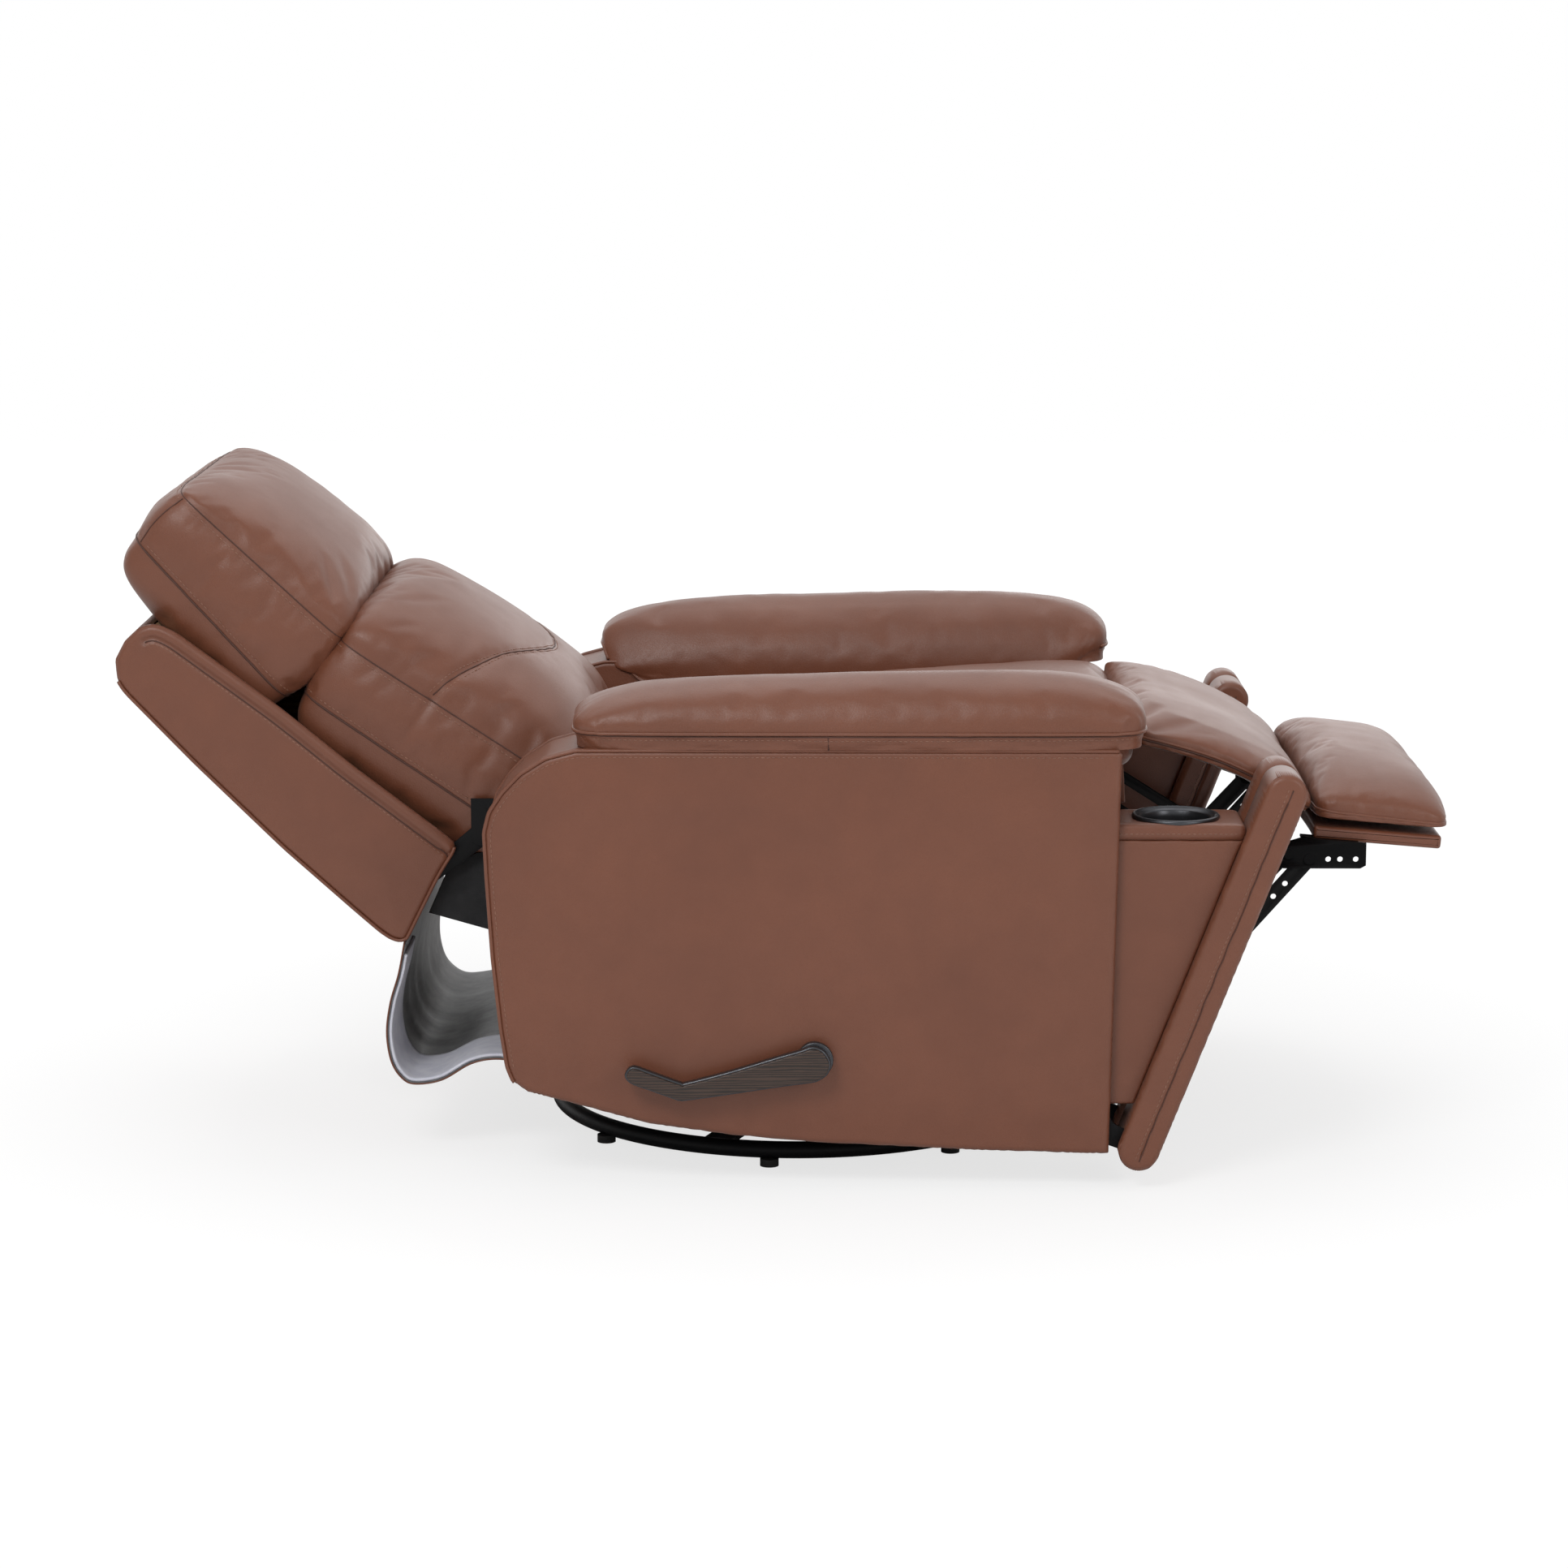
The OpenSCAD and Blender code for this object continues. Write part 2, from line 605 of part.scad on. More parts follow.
// Frame rails hang below the cushion; u is along the tilted seat
module seat_frame_rails() color(steel) seat_tilted() {
    u0 = seat_frame[0] - seat_at[0];
    u1 = seat_frame[1] - seat_at[0];
    inner = seat_frame_w - rail_w;
    for (s = [near, far])
        side_box([u0, inner, seat_under - seat_rail_h], [u1, seat_frame_w, seat_under], s);
    for (u = [u0, u1 - rail_w])
        box([u, play - inner, seat_under - seat_rail_h], [u + rail_w, inner - play, seat_under]);
}

// Sinuous springs: flat zigzags across the frame's opening
spring_bends = 14;
module seat_springs() color([0.3, 0.3, 0.32]) seat_tilted() {
    u0 = seat_frame[0] - seat_at[0] + rail_w + play;
    u1 = seat_frame[1] - seat_at[0] - rail_w - play;
    amp = rail_w;
    for (i = [0 : spring_count - 1]) {
        y = -seat_frame_w + 2 * seat_frame_w * (i + 1) / (spring_count + 1);
        line = [for (k = [0 : spring_bends]) [u0 + (u1 - u0) * k / spring_bends,
            y + (k == 0 || k == spring_bends ? 0 : (k % 2 == 0 ? amp : -amp))]];
        translate([0, 0, seat_under - seat_rail_h / 2]) linear_extrude(glide_t)
            polygon(concat([for (p = line) p + [0, link_t]],
                [for (k = [spring_bends : -1 : 0]) line[k] - [0, link_t]]));
    }
}

module seat_cushion() color(leather) seat_tilted()
    cushion(seat_side, seat_mid, seat_w, n = 4, p = 3);

module seat_front_rail() color(leather)
    seat_tilted() box([seat_frame[1] - seat_at[0] + play, -seat_frame_w, seat_under - 2 * seat_rail_h],
        [seat_frame[1] - seat_at[0] + arm_wall, seat_frame_w, seat_under]);

// Flap that closes the gap between the seat and the back
function seat_point(u, v) =
    seat_at + [u * cos(seat_tilt) - v * sin(seat_tilt), u * sin(seat_tilt) + v * cos(seat_tilt)];
module seat_rear_flap() color(leather) {
    u = seat_frame[0] - seat_at[0] - play;
    a = seat_point(u, seat_under - skirt_t);
    b = seat_point(u, seat_under - 3 * skirt_t);
    bend = flap_low - a;
    plate_y([a, a + [bend[0] * flap_bend_share, bend[1] + 4 * skirt_t], flap_low,
        flap_low + [skirt_t / 2, -skirt_t],
        b + [bend[0] * flap_bend_share, flap_low[1] - b[1] + 2 * skirt_t], b],
        -seat_frame_w, seat_frame_w, far);
}

// The skirt's rings run from its near end to its far one
skirt_steps = 16;
module rear_skirt() color(leather) {
    last = len(skirt_near) - 1;
    loft([for (j = [0 : skirt_steps])
        let (t = j / skirt_steps, y = -skirt_w + 2 * skirt_w * t,
             line = [for (i = [0 : last])
                 let (a = i / last, droop = skirt_fold * sin(180 * a) * sin(360 * 3 * t + 200 * a))
                 skirt_near[i] + (skirt_far[i] - skirt_near[i]) * t + [droop, droop / 2]],
             normals = [for (i = [0 : last])
                 let (d = unit(line[min(i + 1, last)] - line[max(i - 1, 0)])) [-d[1], d[0]]])
        [for (p = concat([for (i = [last : -1 : 0]) line[i] + normals[i] * skirt_t / 2],
                         [for (i = [0 : last]) line[i] - normals[i] * skirt_t / 2])) [p[0], y, p[1]]]]);
}

module dust_cover() color(cloth) {
    on_rail = hanger_rail_z + 2 * rail_h + 2 * play + skirt_t / 2;
    line = [dust_rear, dust_fold, [rail_ends[0], on_rail], [rail_ends[0] + rail_h, on_rail]];
    plate_y(concat(line, [for (i = [3 : -1 : 0]) line[i] - [0, skirt_t / 2]]),
        -seat_frame_w, seat_frame_w, far);
}

// Arm's walls: outer, inner, rear and top, open to the front and below
module arm(s) color(leather) difference() {
    plate_y(arm_outline, arm_y[0], arm_y[1], s);
    translate([0, s > 0 ? arm_y[1] - arm_wall : -arm_y[0] - arm_wall, 0]) rotate([90, 0, 0])
        linear_extrude(arm_w - 2 * arm_wall) intersection() {
            translate([arm_wall, -arm_wall]) polygon(arm_outline);
            translate([2 * arm_wall, 0]) polygon(arm_outline);
        }
    // Open below, and the inner wall stops above the base
    side_box([arm_x[0] + 4 * arm_wall, arm_y[0] + arm_wall, 0],
        [arm_x[1] + arm_wall, arm_y[1] - arm_wall, arm_inner_z], s);
    side_box([arm_x[0] - arm_wall, arm_y[0] - play, 0],
        [arm_x[1] + arm_wall, arm_y[0] + arm_wall, arm_inner_z], s);
    round_y(handle_at, arm_y[0] - play, s < 0 ? arm_y[1] + play : arm_y[0] + arm_wall + play,
        tube_r + 2 * play, s);
}

module arm_right() arm(near);

module arm_left() arm(far);

// Timber inside the arm: two rails under its top and two crosspieces below them
module arm_frame(s) color(timber) {
    y0 = arm_y[0] + arm_wall + play;
    y1 = arm_y[1] - arm_wall - play;
    top = arm_outline[0][1] - arm_wall - play;
    ends = [for (share = arm_frame_shares) place([share, 0], arm_x, arm_z)[0]];
    side_box([ends[0], y0, top - rail_h], [ends[1], y0 + rail_h, top], s);
    side_box([ends[0], y1 - rail_h, top - rail_h], [ends[1], y1, top], s);
    for (x = [ends[0] + rail_w, ends[1] - 2 * rail_w])
        side_box([x, y0, top - rail_h - rail_w - play], [x + rail_w, y1, top - rail_h - play], s);
}

module arm_frame_right() arm_frame(near);

module arm_frame_left() arm_frame(far);

module arm_pad(s) color(leather) {
    mid = (pad_x[0] + pad_x[1]) / 2;
    half = (pad_x[1] - pad_x[0]) / 2;
    translate([mid, s * pad_y, pad_z]) rotate([0, 0, 90])
        cushion([-pad_w * pad_side_share, pad_w * pad_side_share, 0, pad_h * pad_band_share],
            [-pad_w / 2, pad_w / 2, 0, pad_h], half, n = 3, p = 5, steps = 8);
}

module arm_pad_right() arm_pad(near);

module arm_pad_left() arm_pad(far);

module handle_escutcheon() color(gunmetal) difference() {
    round_y(handle_at, arm_y[1] + play, lever_y - trim_t - play, boss_r - 2 * pin_r, near);
    round_y(handle_at, arm_y[1], lever_y, tube_r + play, near);
}

module handle_shape() {
    circle(lever_end_r);
    polygon(lever_shares * lever_l);
}

module handle_lever() color(dark_wood)
    translate([handle_at[0], -lever_y - trim_t, handle_at[1]]) rotate([90, 0, 0])
        linear_extrude(lever_t - trim_t) handle_shape();

module handle_trim() color(gunmetal) difference() {
    union() {
        translate([handle_at[0], -lever_y, handle_at[1]]) rotate([90, 0, 0])
            linear_extrude(trim_t - play) handle_shape();
        round_y(handle_at, lever_y - trim_t, lever_y, boss_r, near);
    }
    round_y(handle_at, lever_y - 2 * trim_t, lever_y + trim_t / 2, tube_r + play, near);
}

module drive_tube() color(steel) {
    translate([handle_at[0], -lever_y - trim_t / 2 + play, handle_at[1]]) rotate([-90, 0, 0])
        cylinder(h = lever_y + trim_t / 2 + arm_y[0] + arm_wall, r = tube_r);
    for (s = [near, far]) {
        difference() {
            bar(handle_at, crank_at, 6, s);
            round_y(crank_at, plane_y(7), plane_y(5), pin_r + pin_play, s);
        }
        round_y(handle_at, plane_y(6) - link_t - pin_r, plane_y(6) - link_t, tube_r + pin_r, s);
    }
}

// Rods from the cranks to the drive links' tails
module drive_rods() color(steel) for (s = [near, far]) {
    difference() {
        bar(crank_at, tail_at, 5, s, link_w - pin_r);
        round_y(tail_at, plane_y(6), plane_y(4), pin_r + rod_play, s);
    }
    round_y(crank_at, plane_y(6) - link_t - play, plane_y(5) - link_t / 2, pin_r, s);
}

// Straps on the arm's walls that carry the arm fronts' hinge pins
function strap_y(i) = i == 0 ? arm_y[0] + arm_wall + play : arm_y[1] - arm_wall - play - strap_t;
module tilt_straps() color(steel) for (s = [near, far]) for (i = [0, 1]) difference() {
    plate_y(placed(strap_shares, strap_x, strap_z), strap_y(i), strap_y(i) + strap_t, s);
    round_y(tilt_hinge, strap_y(i) - play, strap_y(i) + strap_t + play, pin_r + pin_play, s);
}

module tilt_panel(s) color(leather) tilted() {
    r = (panel_x[1] - panel_x[0]) / 2;
    difference() {
        translate([0, s > 0 ? panel_y[1] : -panel_y[0], 0]) rotate([90, 0, 0])
            linear_extrude(panel_y[1] - panel_y[0]) union() {
                translate([panel_x[0] + r, panel_z[0] + r]) circle(r);
                translate([panel_x[0] + r, panel_z[1] - r]) circle(r);
                translate([panel_x[0], panel_z[0] + r]) square([2 * r, panel_z[1] - panel_z[0] - 2 * r]);
            }
        // Slots for the straps and the bore of the hinge pin
        for (i = [0, 1]) side_box([panel_x[0] - play, strap_y(i) - 2 * play, panel_z[0] - play],
            [tilt_hinge[0] + 3 * pin_r, strap_y(i) + strap_t + 2 * play, tilt_hinge[1] + slot_h], s);
        round_y(tilt_hinge, strap_y(0) - link_pitch - play, strap_y(1) + strap_t + link_pitch + play,
            pin_r + play, s);
    }
}

// X of the open panel's rear face at height z
function inner_x(z) =
    let (back = panel_x[0] - tilt_hinge[0], q = (z - tilt_hinge[1] + back * sin(tilt)) / cos(tilt))
    tilt_hinge[0] + back * cos(tilt) + q * sin(tilt);

// Bin outline drawn in by w from its faces, its top lowered by lid
function bin_shape(w, lid) = [[bin_x + w, bin_top - lid], [bin_x + w, bin_low + 3 * bin_wall + w],
    [bin_x + bin_wall + w, bin_low + w], [inner_x(bin_low + w) - play - w, bin_low + w],
    [inner_x(bin_top - lid) - play - w, bin_top - lid]];

// Bin's four walls and floor, open at the top
lid_t = 2 * bin_wall;
module tilt_bin(s) color(leather) difference() {
    plate_y(bin_shape(0, lid_t + play), bin_y[0], bin_y[1], s);
    plate_y(bin_shape(bin_wall, 0), bin_y[0] + bin_wall, bin_y[1] - bin_wall, s);
}

// Padded lid of the bin, with the cup holder's hole
module bin_lid(s) color(leather) difference() {
    plate_y([[bin_x, bin_top], [bin_x, bin_top - lid_t], [inner_x(bin_top - lid_t) - play, bin_top - lid_t],
        [inner_x(bin_top) - play, bin_top]], bin_y[0], bin_y[1], s);
    translate([cup_x, s * (bin_y[0] + bin_y[1]) / 2, bin_top - lid_t - bin_wall])
        cylinder(h = lid_t + 2 * bin_wall, r = cup_r + cup_wall + play);
}

module cup_holder(s) color(gunmetal) {
    translate([cup_x, s * (bin_y[0] + bin_y[1]) / 2, bin_top - cup_depth]) rotate_extrude($fn = 64) union() {
        square([cup_r + cup_wall, cup_wall]);
        translate([cup_r, 0]) square([cup_wall, cup_depth + play]);
        translate([cup_r, cup_depth + play]) square([cup_rim_r - cup_r - cup_lip, 2 * cup_lip]);
        translate([cup_rim_r - cup_lip, cup_depth + play + cup_lip]) circle(cup_lip);
    }
}

// Hinge pin across the lower end of the arm front
module tilt_pin(s) color(steel)
    round_y(tilt_hinge, strap_y(0) - link_pitch, strap_y(1) + strap_t + link_pitch, pin_r, s);

module tilt_panel_right() tilt_panel(near);

module tilt_bin_right() tilt_bin(near);

module bin_lid_right() bin_lid(near);

module cup_holder_right() cup_holder(near);

module tilt_pin_right() tilt_pin(near);

module tilt_panel_left() tilt_panel(far);

module tilt_bin_left() tilt_bin(far);

module bin_lid_left() bin_lid(far);

module cup_holder_left() cup_holder(far);

module tilt_pin_left() tilt_pin(far);

// The back's outline moved by d forwards and up
function moved(d) = [for (p = back_outline) p + d];
tray = [back_wall, back_wall] * tray_share;

// Outside back: rear wall and two wings round an open tray
module back_shell() color(leather) difference() {
    plate_y(back_outline, -back_w, back_w, far);
    plate_y(moved(tray), -back_w + wing_t, back_w - wing_t, far);
}

// Timber stiles and cross rails inside the back
stile_y = plane_y(2) - link_t - play;
module back_frame() color(timber) {
    for (s = [near, far]) difference() {
        intersection() {
            plate_y(moved(tray + [play, play]), stile_y - stile_w, stile_y, s);
            plate_y(moved(-stile_depth), stile_y - stile_w, stile_y, s);
        }
        head_placed() board(head_mid[2], [2 * head_side[0], head_board_u[1] + play], 2 * stile_w);
        back_placed() board(back_mid[2], [back_board_u[0] - play, 2 * back_side[1]], 2 * stile_w);
    }
    // Cross rails at the corners of the back's rear line
    inner = stile_y - stile_w - play;
    for (i = [14 : 16]) translate([back_outline[i][0] + 2 * tray[0], 0, back_outline[i][1] + 2 * tray[1]])
        box([-stile_w * 3 / 8, -inner, -stile_w * 3 / 8], [stile_w / 2, inner, stile_w / 2]);
}

// Board under a cushion whose rear lies at v, or the room above the board
module board(v, u, up = 0) {
    drop = up > 0 ? 2 * play : play;
    box([u[0], -stile_y - up, v - drop - back_wall], [u[1], stile_y + up, v - (up > 0 ? -up : play)]);
}

module head_placed() translate([head_at[0], 0, head_at[1]]) rotate([0, head_fall, 0]) children();

module back_placed() translate([back_at[0], 0, back_at[1]]) rotate([0, back_fall, 0]) children();

// Boards that lie on the stiles and carry the two back cushions
module back_boards() color(timber) {
    head_placed() board(head_mid[2], head_board_u);
    back_placed() board(back_mid[2], back_board_u);
}

// Steel arms of the back, turning on the side plates
module back_hinge_arms() color(steel) for (s = [near, far]) {
    plate_y(placed(hinge_arm_shares, hinge_arm_x, hinge_arm_z), plane_y(2) - link_t, plane_y(2), s);
    round_y(back_pivot, plane_y(2) - link_t / 2, mech_y + link_t, glide_pin_r, s);
}

module back_cushion() color(leather)
    back_placed() cushion(back_side, back_mid, back_cushion_w, n = 3.8, p = 2.2);

module headrest() color(leather)
    head_placed() cushion(head_side, head_mid, head_w, n = 3, p = 2.4);

// Drive link: side plate pivot to front link, with its tail
module drive_links() color(steel) for (s = [near, far]) {
    difference() {
        link_plate(4, s) union() {
            strip(f1, k1, link_w - 4 * play);
            strip(f1, tail_at, link_w - 4 * play);
            for (p = [f1, k1, tail_at, x1]) translate(p) circle(link_w / 2);
        }
        round_y(k1, plane_y(5), plane_y(3), pin_r + pin_play, s);
    }
    round_y(f1, plane_y(4) - link_t / 2, mech_y + link_t, pin_r, s);
    round_y(f1, plane_y(4), plane_y(3), pin_head_r, s);
    round_y(f1, mech_y + play, mech_y + link_t, pin_head_r, s);
    round_y(x1, plane_y(6), plane_y(4) - link_t / 2, pin_r, s);
    round_y(tail_at, plane_y(6), plane_y(4) - link_t / 2, pin_r, s);
}

// Front link: drive link to ottoman bracket
module front_links() color(steel) for (s = [near, far]) {
    difference() {
        bar(k1, o1, 3, s);
        round_y(o1, plane_y(4), plane_y(2), pin_r + pin_play, s);
        for (u = spare_shares) round_y(k1 + (o1 - k1) * u, plane_y(4), plane_y(2), spare_hole_r, s);
    }
    round_y(k1, plane_y(4) - link_t - play, plane_y(3) - link_t / 2, pin_r, s);
    round_y(k1, plane_y(5), plane_y(4) - link_t - play, pin_head_r, s);
    round_y(x2, plane_y(3) - link_t / 2, plane_y(2) + play, pin_r, s);
}

// Guide link: side plate to front link, its front pivot left open
module guide_links() color(steel) for (s = [near, far]) difference() {
    bar(f2, x2, 2, s, guide_w);
    round_y(f2, plane_y(3), plane_y(1), pin_r + pin_play, s);
    round_y(x2, plane_y(3), plane_y(1), pin_r + guide_play, s);
}

// Tie link: drive link to ottoman bracket, its front pivot left open
module tie_links() color(steel) for (s = [near, far]) difference() {
    bar(x1, o2, 5, s);
    round_y(x1, plane_y(6), plane_y(4), pin_r + pin_play, s);
    round_y(o2, plane_y(6), plane_y(4), pin_r + tie_play, s);
}

// Ottoman bracket with its row of spare holes and its pins
module ottoman_brackets() color(steel) for (s = [near, far]) {
    difference() {
        union() {
            plate_y([[o1[0] + bracket_x[0], o1[1] - bracket_drop + pin_r],
                [o1[0] + bracket_x[0] + pin_head_r, o1[1] - bracket_drop],
                [o1[0] + bracket_x[1] - pin_head_r, o1[1] - bracket_drop],
                [o1[0] + bracket_x[1], o1[1] - bracket_drop + pin_r],
                [o1[0] + bracket_x[1], foot_z(o1[0] + bracket_x[1], board_low - play)],
                [o1[0] - bracket_drop, foot_z(o1[0] - bracket_drop, board_low - play)],
                [o1[0] + bracket_x[0], o2[1] + bracket_drop]], mech_y - link_t, mech_y, s);
            foot_tilted() side_box(
                [o1[0] - foot_at[0] - pin_head_r, mech_y - flange_w, board_low - play - link_t],
                [o1[0] - foot_at[0] + bracket_x[1] - pin_head_r, mech_y - link_t / 2, board_low - play], s);
        }
        for (u = bracket_holes)
            round_y([o1[0] + u, o1[1]], mech_y - link_pitch, mech_y + play, spare_hole_r, s);
    }
    round_y(o1, plane_y(3) - link_t - play, mech_y - link_t / 2, pin_r, s);
    round_y(o1, plane_y(4), plane_y(3) - link_t - play, pin_head_r, s);
    round_y(o1, plane_y(3) + play, mech_y - link_t, pin_head_r, s);
    round_y(o2, plane_y(5) - link_t - play, mech_y - link_t / 2, pin_r, s);
    round_y(o2, plane_y(6), plane_y(5) - link_t - play, pin_head_r + tie_play, s);
    round_y(o1, mech_y - link_t / 2, mech_y + link_t / 2, pin_head_r, s);
    round_y(o2, mech_y - link_t / 2, mech_y + link_t / 2, pin_head_r, s);
}

// Underside of the footrest board in the tilted frame, and a tilted level's Z at x
board_low = foot_side[2] - play - board_t;
function foot_z(x, v) = foot_at[1] + v / cos(foot_tilt) - (x - foot_at[0]) * tan(foot_tilt);

module foot_tilted() {
    translate([foot_at[0], 0, foot_at[1]]) rotate([0, foot_tilt, 0]) children();
}

module ottoman_board() color(leather) foot_tilted() {
    box([foot_side[0], -mech_y + link_t, board_low],
        [foot_side[1] - pin_head_r, mech_y - link_t, foot_side[2] - play]);
}

module ottoman_pad() color(leather) foot_tilted()
    cushion(foot_side, foot_mid, foot_w, n = 2.8, p = 3.2);

// Chaise: its profile follows the photo's curve; the top falls at the sides
module chaise_pad() color(leather) {
    steps = 7;
    x = [seat_at[0] + seat_mid[1] + 2 * play, chaise_front];
    top = placed(chaise_top_shares, x, chaise_z);
    under = placed(chaise_under_shares, x, chaise_z);
    last = len(top) - 1;
    loft([for (k = [-steps : steps])
        let (s = sin(90 * k / steps), fall = chaise_fall * (1 - crown(s, 4)))
        [for (q = concat([for (i = [last : -1 : 0]) top[i] - [0, fall]],
                         [for (i = [last : -1 : 0]) under[i]])) [q[0], s * chaise_w, q[1]]]]);
}

base_ring();
ring_spokes();
ring_glides();
swivel_hub();
swivel_plate();
glider_frame();
front_glide_links();
rear_glide_links();
chassis_rails();
hanger_plates();
mech_side_plates();
seat_cleats();
seat_frame_rails();
seat_springs();
seat_cushion();
seat_front_rail();
seat_rear_flap();
rear_skirt();
dust_cover();
arm_right();
arm_left();
arm_frame_right();
arm_frame_left();
arm_pad_right();
arm_pad_left();
tilt_straps();
handle_escutcheon();
handle_lever();
handle_trim();
drive_tube();
drive_rods();
tilt_panel_right();
tilt_bin_right();
bin_lid_right();
cup_holder_right();
tilt_pin_right();
tilt_panel_left();
tilt_bin_left();
bin_lid_left();
cup_holder_left();
tilt_pin_left();
back_shell();
back_frame();
back_boards();
back_hinge_arms();
back_cushion();
headrest();
drive_links();
front_links();
guide_links();
tie_links();
ottoman_brackets();
ottoman_board();
ottoman_pad();
chaise_pad();
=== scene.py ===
"""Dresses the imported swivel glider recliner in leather, steel, timber and cloth.

Sizes are in millimetres in the row frame: +X the sitter's forward, +Y the sitter's left,
+Z up, origin on the floor under the swivel. Pieces turn them into metres when they are made.
"""

import json
import logging
import math
from dataclasses import dataclass, field
from enum import Enum

import bmesh
import bpy
import numpy as np
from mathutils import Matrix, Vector
from mathutils.bvhtree import BVHTree

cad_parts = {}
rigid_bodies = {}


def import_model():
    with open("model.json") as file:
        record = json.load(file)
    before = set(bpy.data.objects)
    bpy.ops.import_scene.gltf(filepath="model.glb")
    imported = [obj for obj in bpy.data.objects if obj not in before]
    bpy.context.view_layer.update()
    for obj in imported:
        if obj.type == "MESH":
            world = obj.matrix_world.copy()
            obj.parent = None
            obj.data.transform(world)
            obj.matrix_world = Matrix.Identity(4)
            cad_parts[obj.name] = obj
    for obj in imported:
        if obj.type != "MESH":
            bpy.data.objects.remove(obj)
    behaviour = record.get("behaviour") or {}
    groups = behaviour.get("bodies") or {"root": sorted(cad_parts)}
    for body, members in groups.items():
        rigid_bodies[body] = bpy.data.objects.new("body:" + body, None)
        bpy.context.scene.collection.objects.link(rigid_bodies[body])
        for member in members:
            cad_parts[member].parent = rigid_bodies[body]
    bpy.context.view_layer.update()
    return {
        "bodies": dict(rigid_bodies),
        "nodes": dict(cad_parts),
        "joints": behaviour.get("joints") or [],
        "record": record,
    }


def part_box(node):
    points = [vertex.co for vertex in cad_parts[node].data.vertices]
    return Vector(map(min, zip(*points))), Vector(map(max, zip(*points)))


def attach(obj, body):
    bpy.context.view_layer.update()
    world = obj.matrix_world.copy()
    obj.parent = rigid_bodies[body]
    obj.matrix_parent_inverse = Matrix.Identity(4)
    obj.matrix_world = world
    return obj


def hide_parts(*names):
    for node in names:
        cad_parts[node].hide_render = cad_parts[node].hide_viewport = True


LOG = logging.getLogger("recliner")
MM = 0.001

Points = tuple[tuple[float, float], ...]


class Side(Enum):
    """The chair's two sides; the value is the sign of Y."""

    RIGHT = -1
    LEFT = 1

    @property
    def word(self) -> str:
        """Name of the side as used in node names."""
        return "right" if self is Side.RIGHT else "left"


# Curves and surfaces


def unit(v: np.ndarray) -> np.ndarray:
    """Rows of v at length one."""
    return v / np.maximum(np.linalg.norm(v, axis=-1, keepdims=True), 1e-9)


def smoothstep(t: np.ndarray) -> np.ndarray:
    """0 below 0, 1 above 1 and an S curve between."""
    t = np.clip(t, 0, 1)
    return t * t * (3 - 2 * t)


def noise(x: np.ndarray, y: np.ndarray, seed: int, size: int = 64) -> np.ndarray:
    """Smooth seeded noise in -1..1.

    Random values on a wrapped lattice, blended bilinearly with S curves.

    Args:
        x: First coordinate in lattice cells.
        y: Second coordinate in lattice cells.
        seed: Seed of the lattice.
        size: Cells before the lattice repeats.

    Returns:
        An array of the shape of x and y.
    """
    lattice = np.random.default_rng(seed).uniform(-1, 1, (size, size))
    x, y = np.broadcast_arrays(x, y)
    i, j = np.floor(x).astype(int), np.floor(y).astype(int)
    u, v = smoothstep(x - i), smoothstep(y - j)
    a, b = lattice[i % size, j % size], lattice[(i + 1) % size, j % size]
    c, d = lattice[i % size, (j + 1) % size], lattice[(i + 1) % size, (j + 1) % size]
    return (a * (1 - u) + b * u) * (1 - v) + (c * (1 - u) + d * u) * v


def folds(along: np.ndarray, across: np.ndarray, cell: float, seed: int) -> np.ndarray:
    """Ridged folds that run across a seam: 1 - |noise| of two sizes, thin on top.

    Args:
        along: Distance along the seam.
        across: Distance from the seam.
        cell: Spacing of the folds.
        seed: Seed of the noise.

    Returns:
        Heights of about -1..1.
    """
    wander = 0.6 * noise(across / (3.2 * cell), along / (5 * cell), seed + 1)
    big = 1 - 2 * np.abs(noise(along / cell + wander, across / (5.5 * cell), seed))
    small = 1 - 2 * np.abs(noise(along / (0.45 * cell) + wander, across / (3 * cell), seed + 2))
    return 0.7 * big + 0.3 * small


def catmull(points: np.ndarray, step: float, closed: bool = False) -> np.ndarray:
    """Smooth curve through points, resampled by arc length.

    Uniform Catmull-Rom: each span blends its four neighbours with cubic weights.

    Args:
        points: Rows of points.
        step: Spacing of the result.
        closed: Whether the last point joins the first.

    Returns:
        Rows of evenly spaced points; a closed curve doesn't repeat its first one.
    """
    p = np.asarray(points, float)
    if closed:
        p = np.vstack([p[-1:], p, p[:2]])
    else:
        p = np.vstack([2 * p[:1] - p[1:2], p, 2 * p[-1:] - p[-2:-1]])
    t = np.linspace(0, 1, 24, endpoint=False)[None, :, None]
    a, b, c, d = (p[i:len(p) - 3 + i][:, None] for i in range(4))
    curve = 0.5 * (2 * b + (c - a) * t + (2 * a - 5 * b + 4 * c - d) * t**2 + (3 * b - a - 3 * c + d) * t**3)
    curve = np.vstack([curve.reshape(-1, p.shape[1]), p[-2:-1]])
    return resample(curve, step, closed)


def looped(loop: np.ndarray) -> np.ndarray:
    """The points of a closed loop with the first one again at the end."""
    return np.vstack([loop, loop[:1]])


def lengths_along(path: np.ndarray) -> np.ndarray:
    """Distance from a path's start to each of its points."""
    return np.concatenate([[0], np.cumsum(np.linalg.norm(np.diff(path, axis=0), axis=1))])


def at_lengths(values: np.ndarray, lengths: np.ndarray, wanted: np.ndarray) -> np.ndarray:
    """A path's points, or values that go with them, at the wanted distances from its start."""
    return np.stack([np.interp(wanted, lengths, column) for column in values.T], axis=1)


def resample(curve: np.ndarray, step: float, closed: bool = False) -> np.ndarray:
    """Points of a polyline at an even spacing near step."""
    length = lengths_along(curve)
    count = max(3, int(round(length[-1] / step)))
    return at_lengths(curve, length, np.linspace(0, length[-1], count, endpoint=not closed))


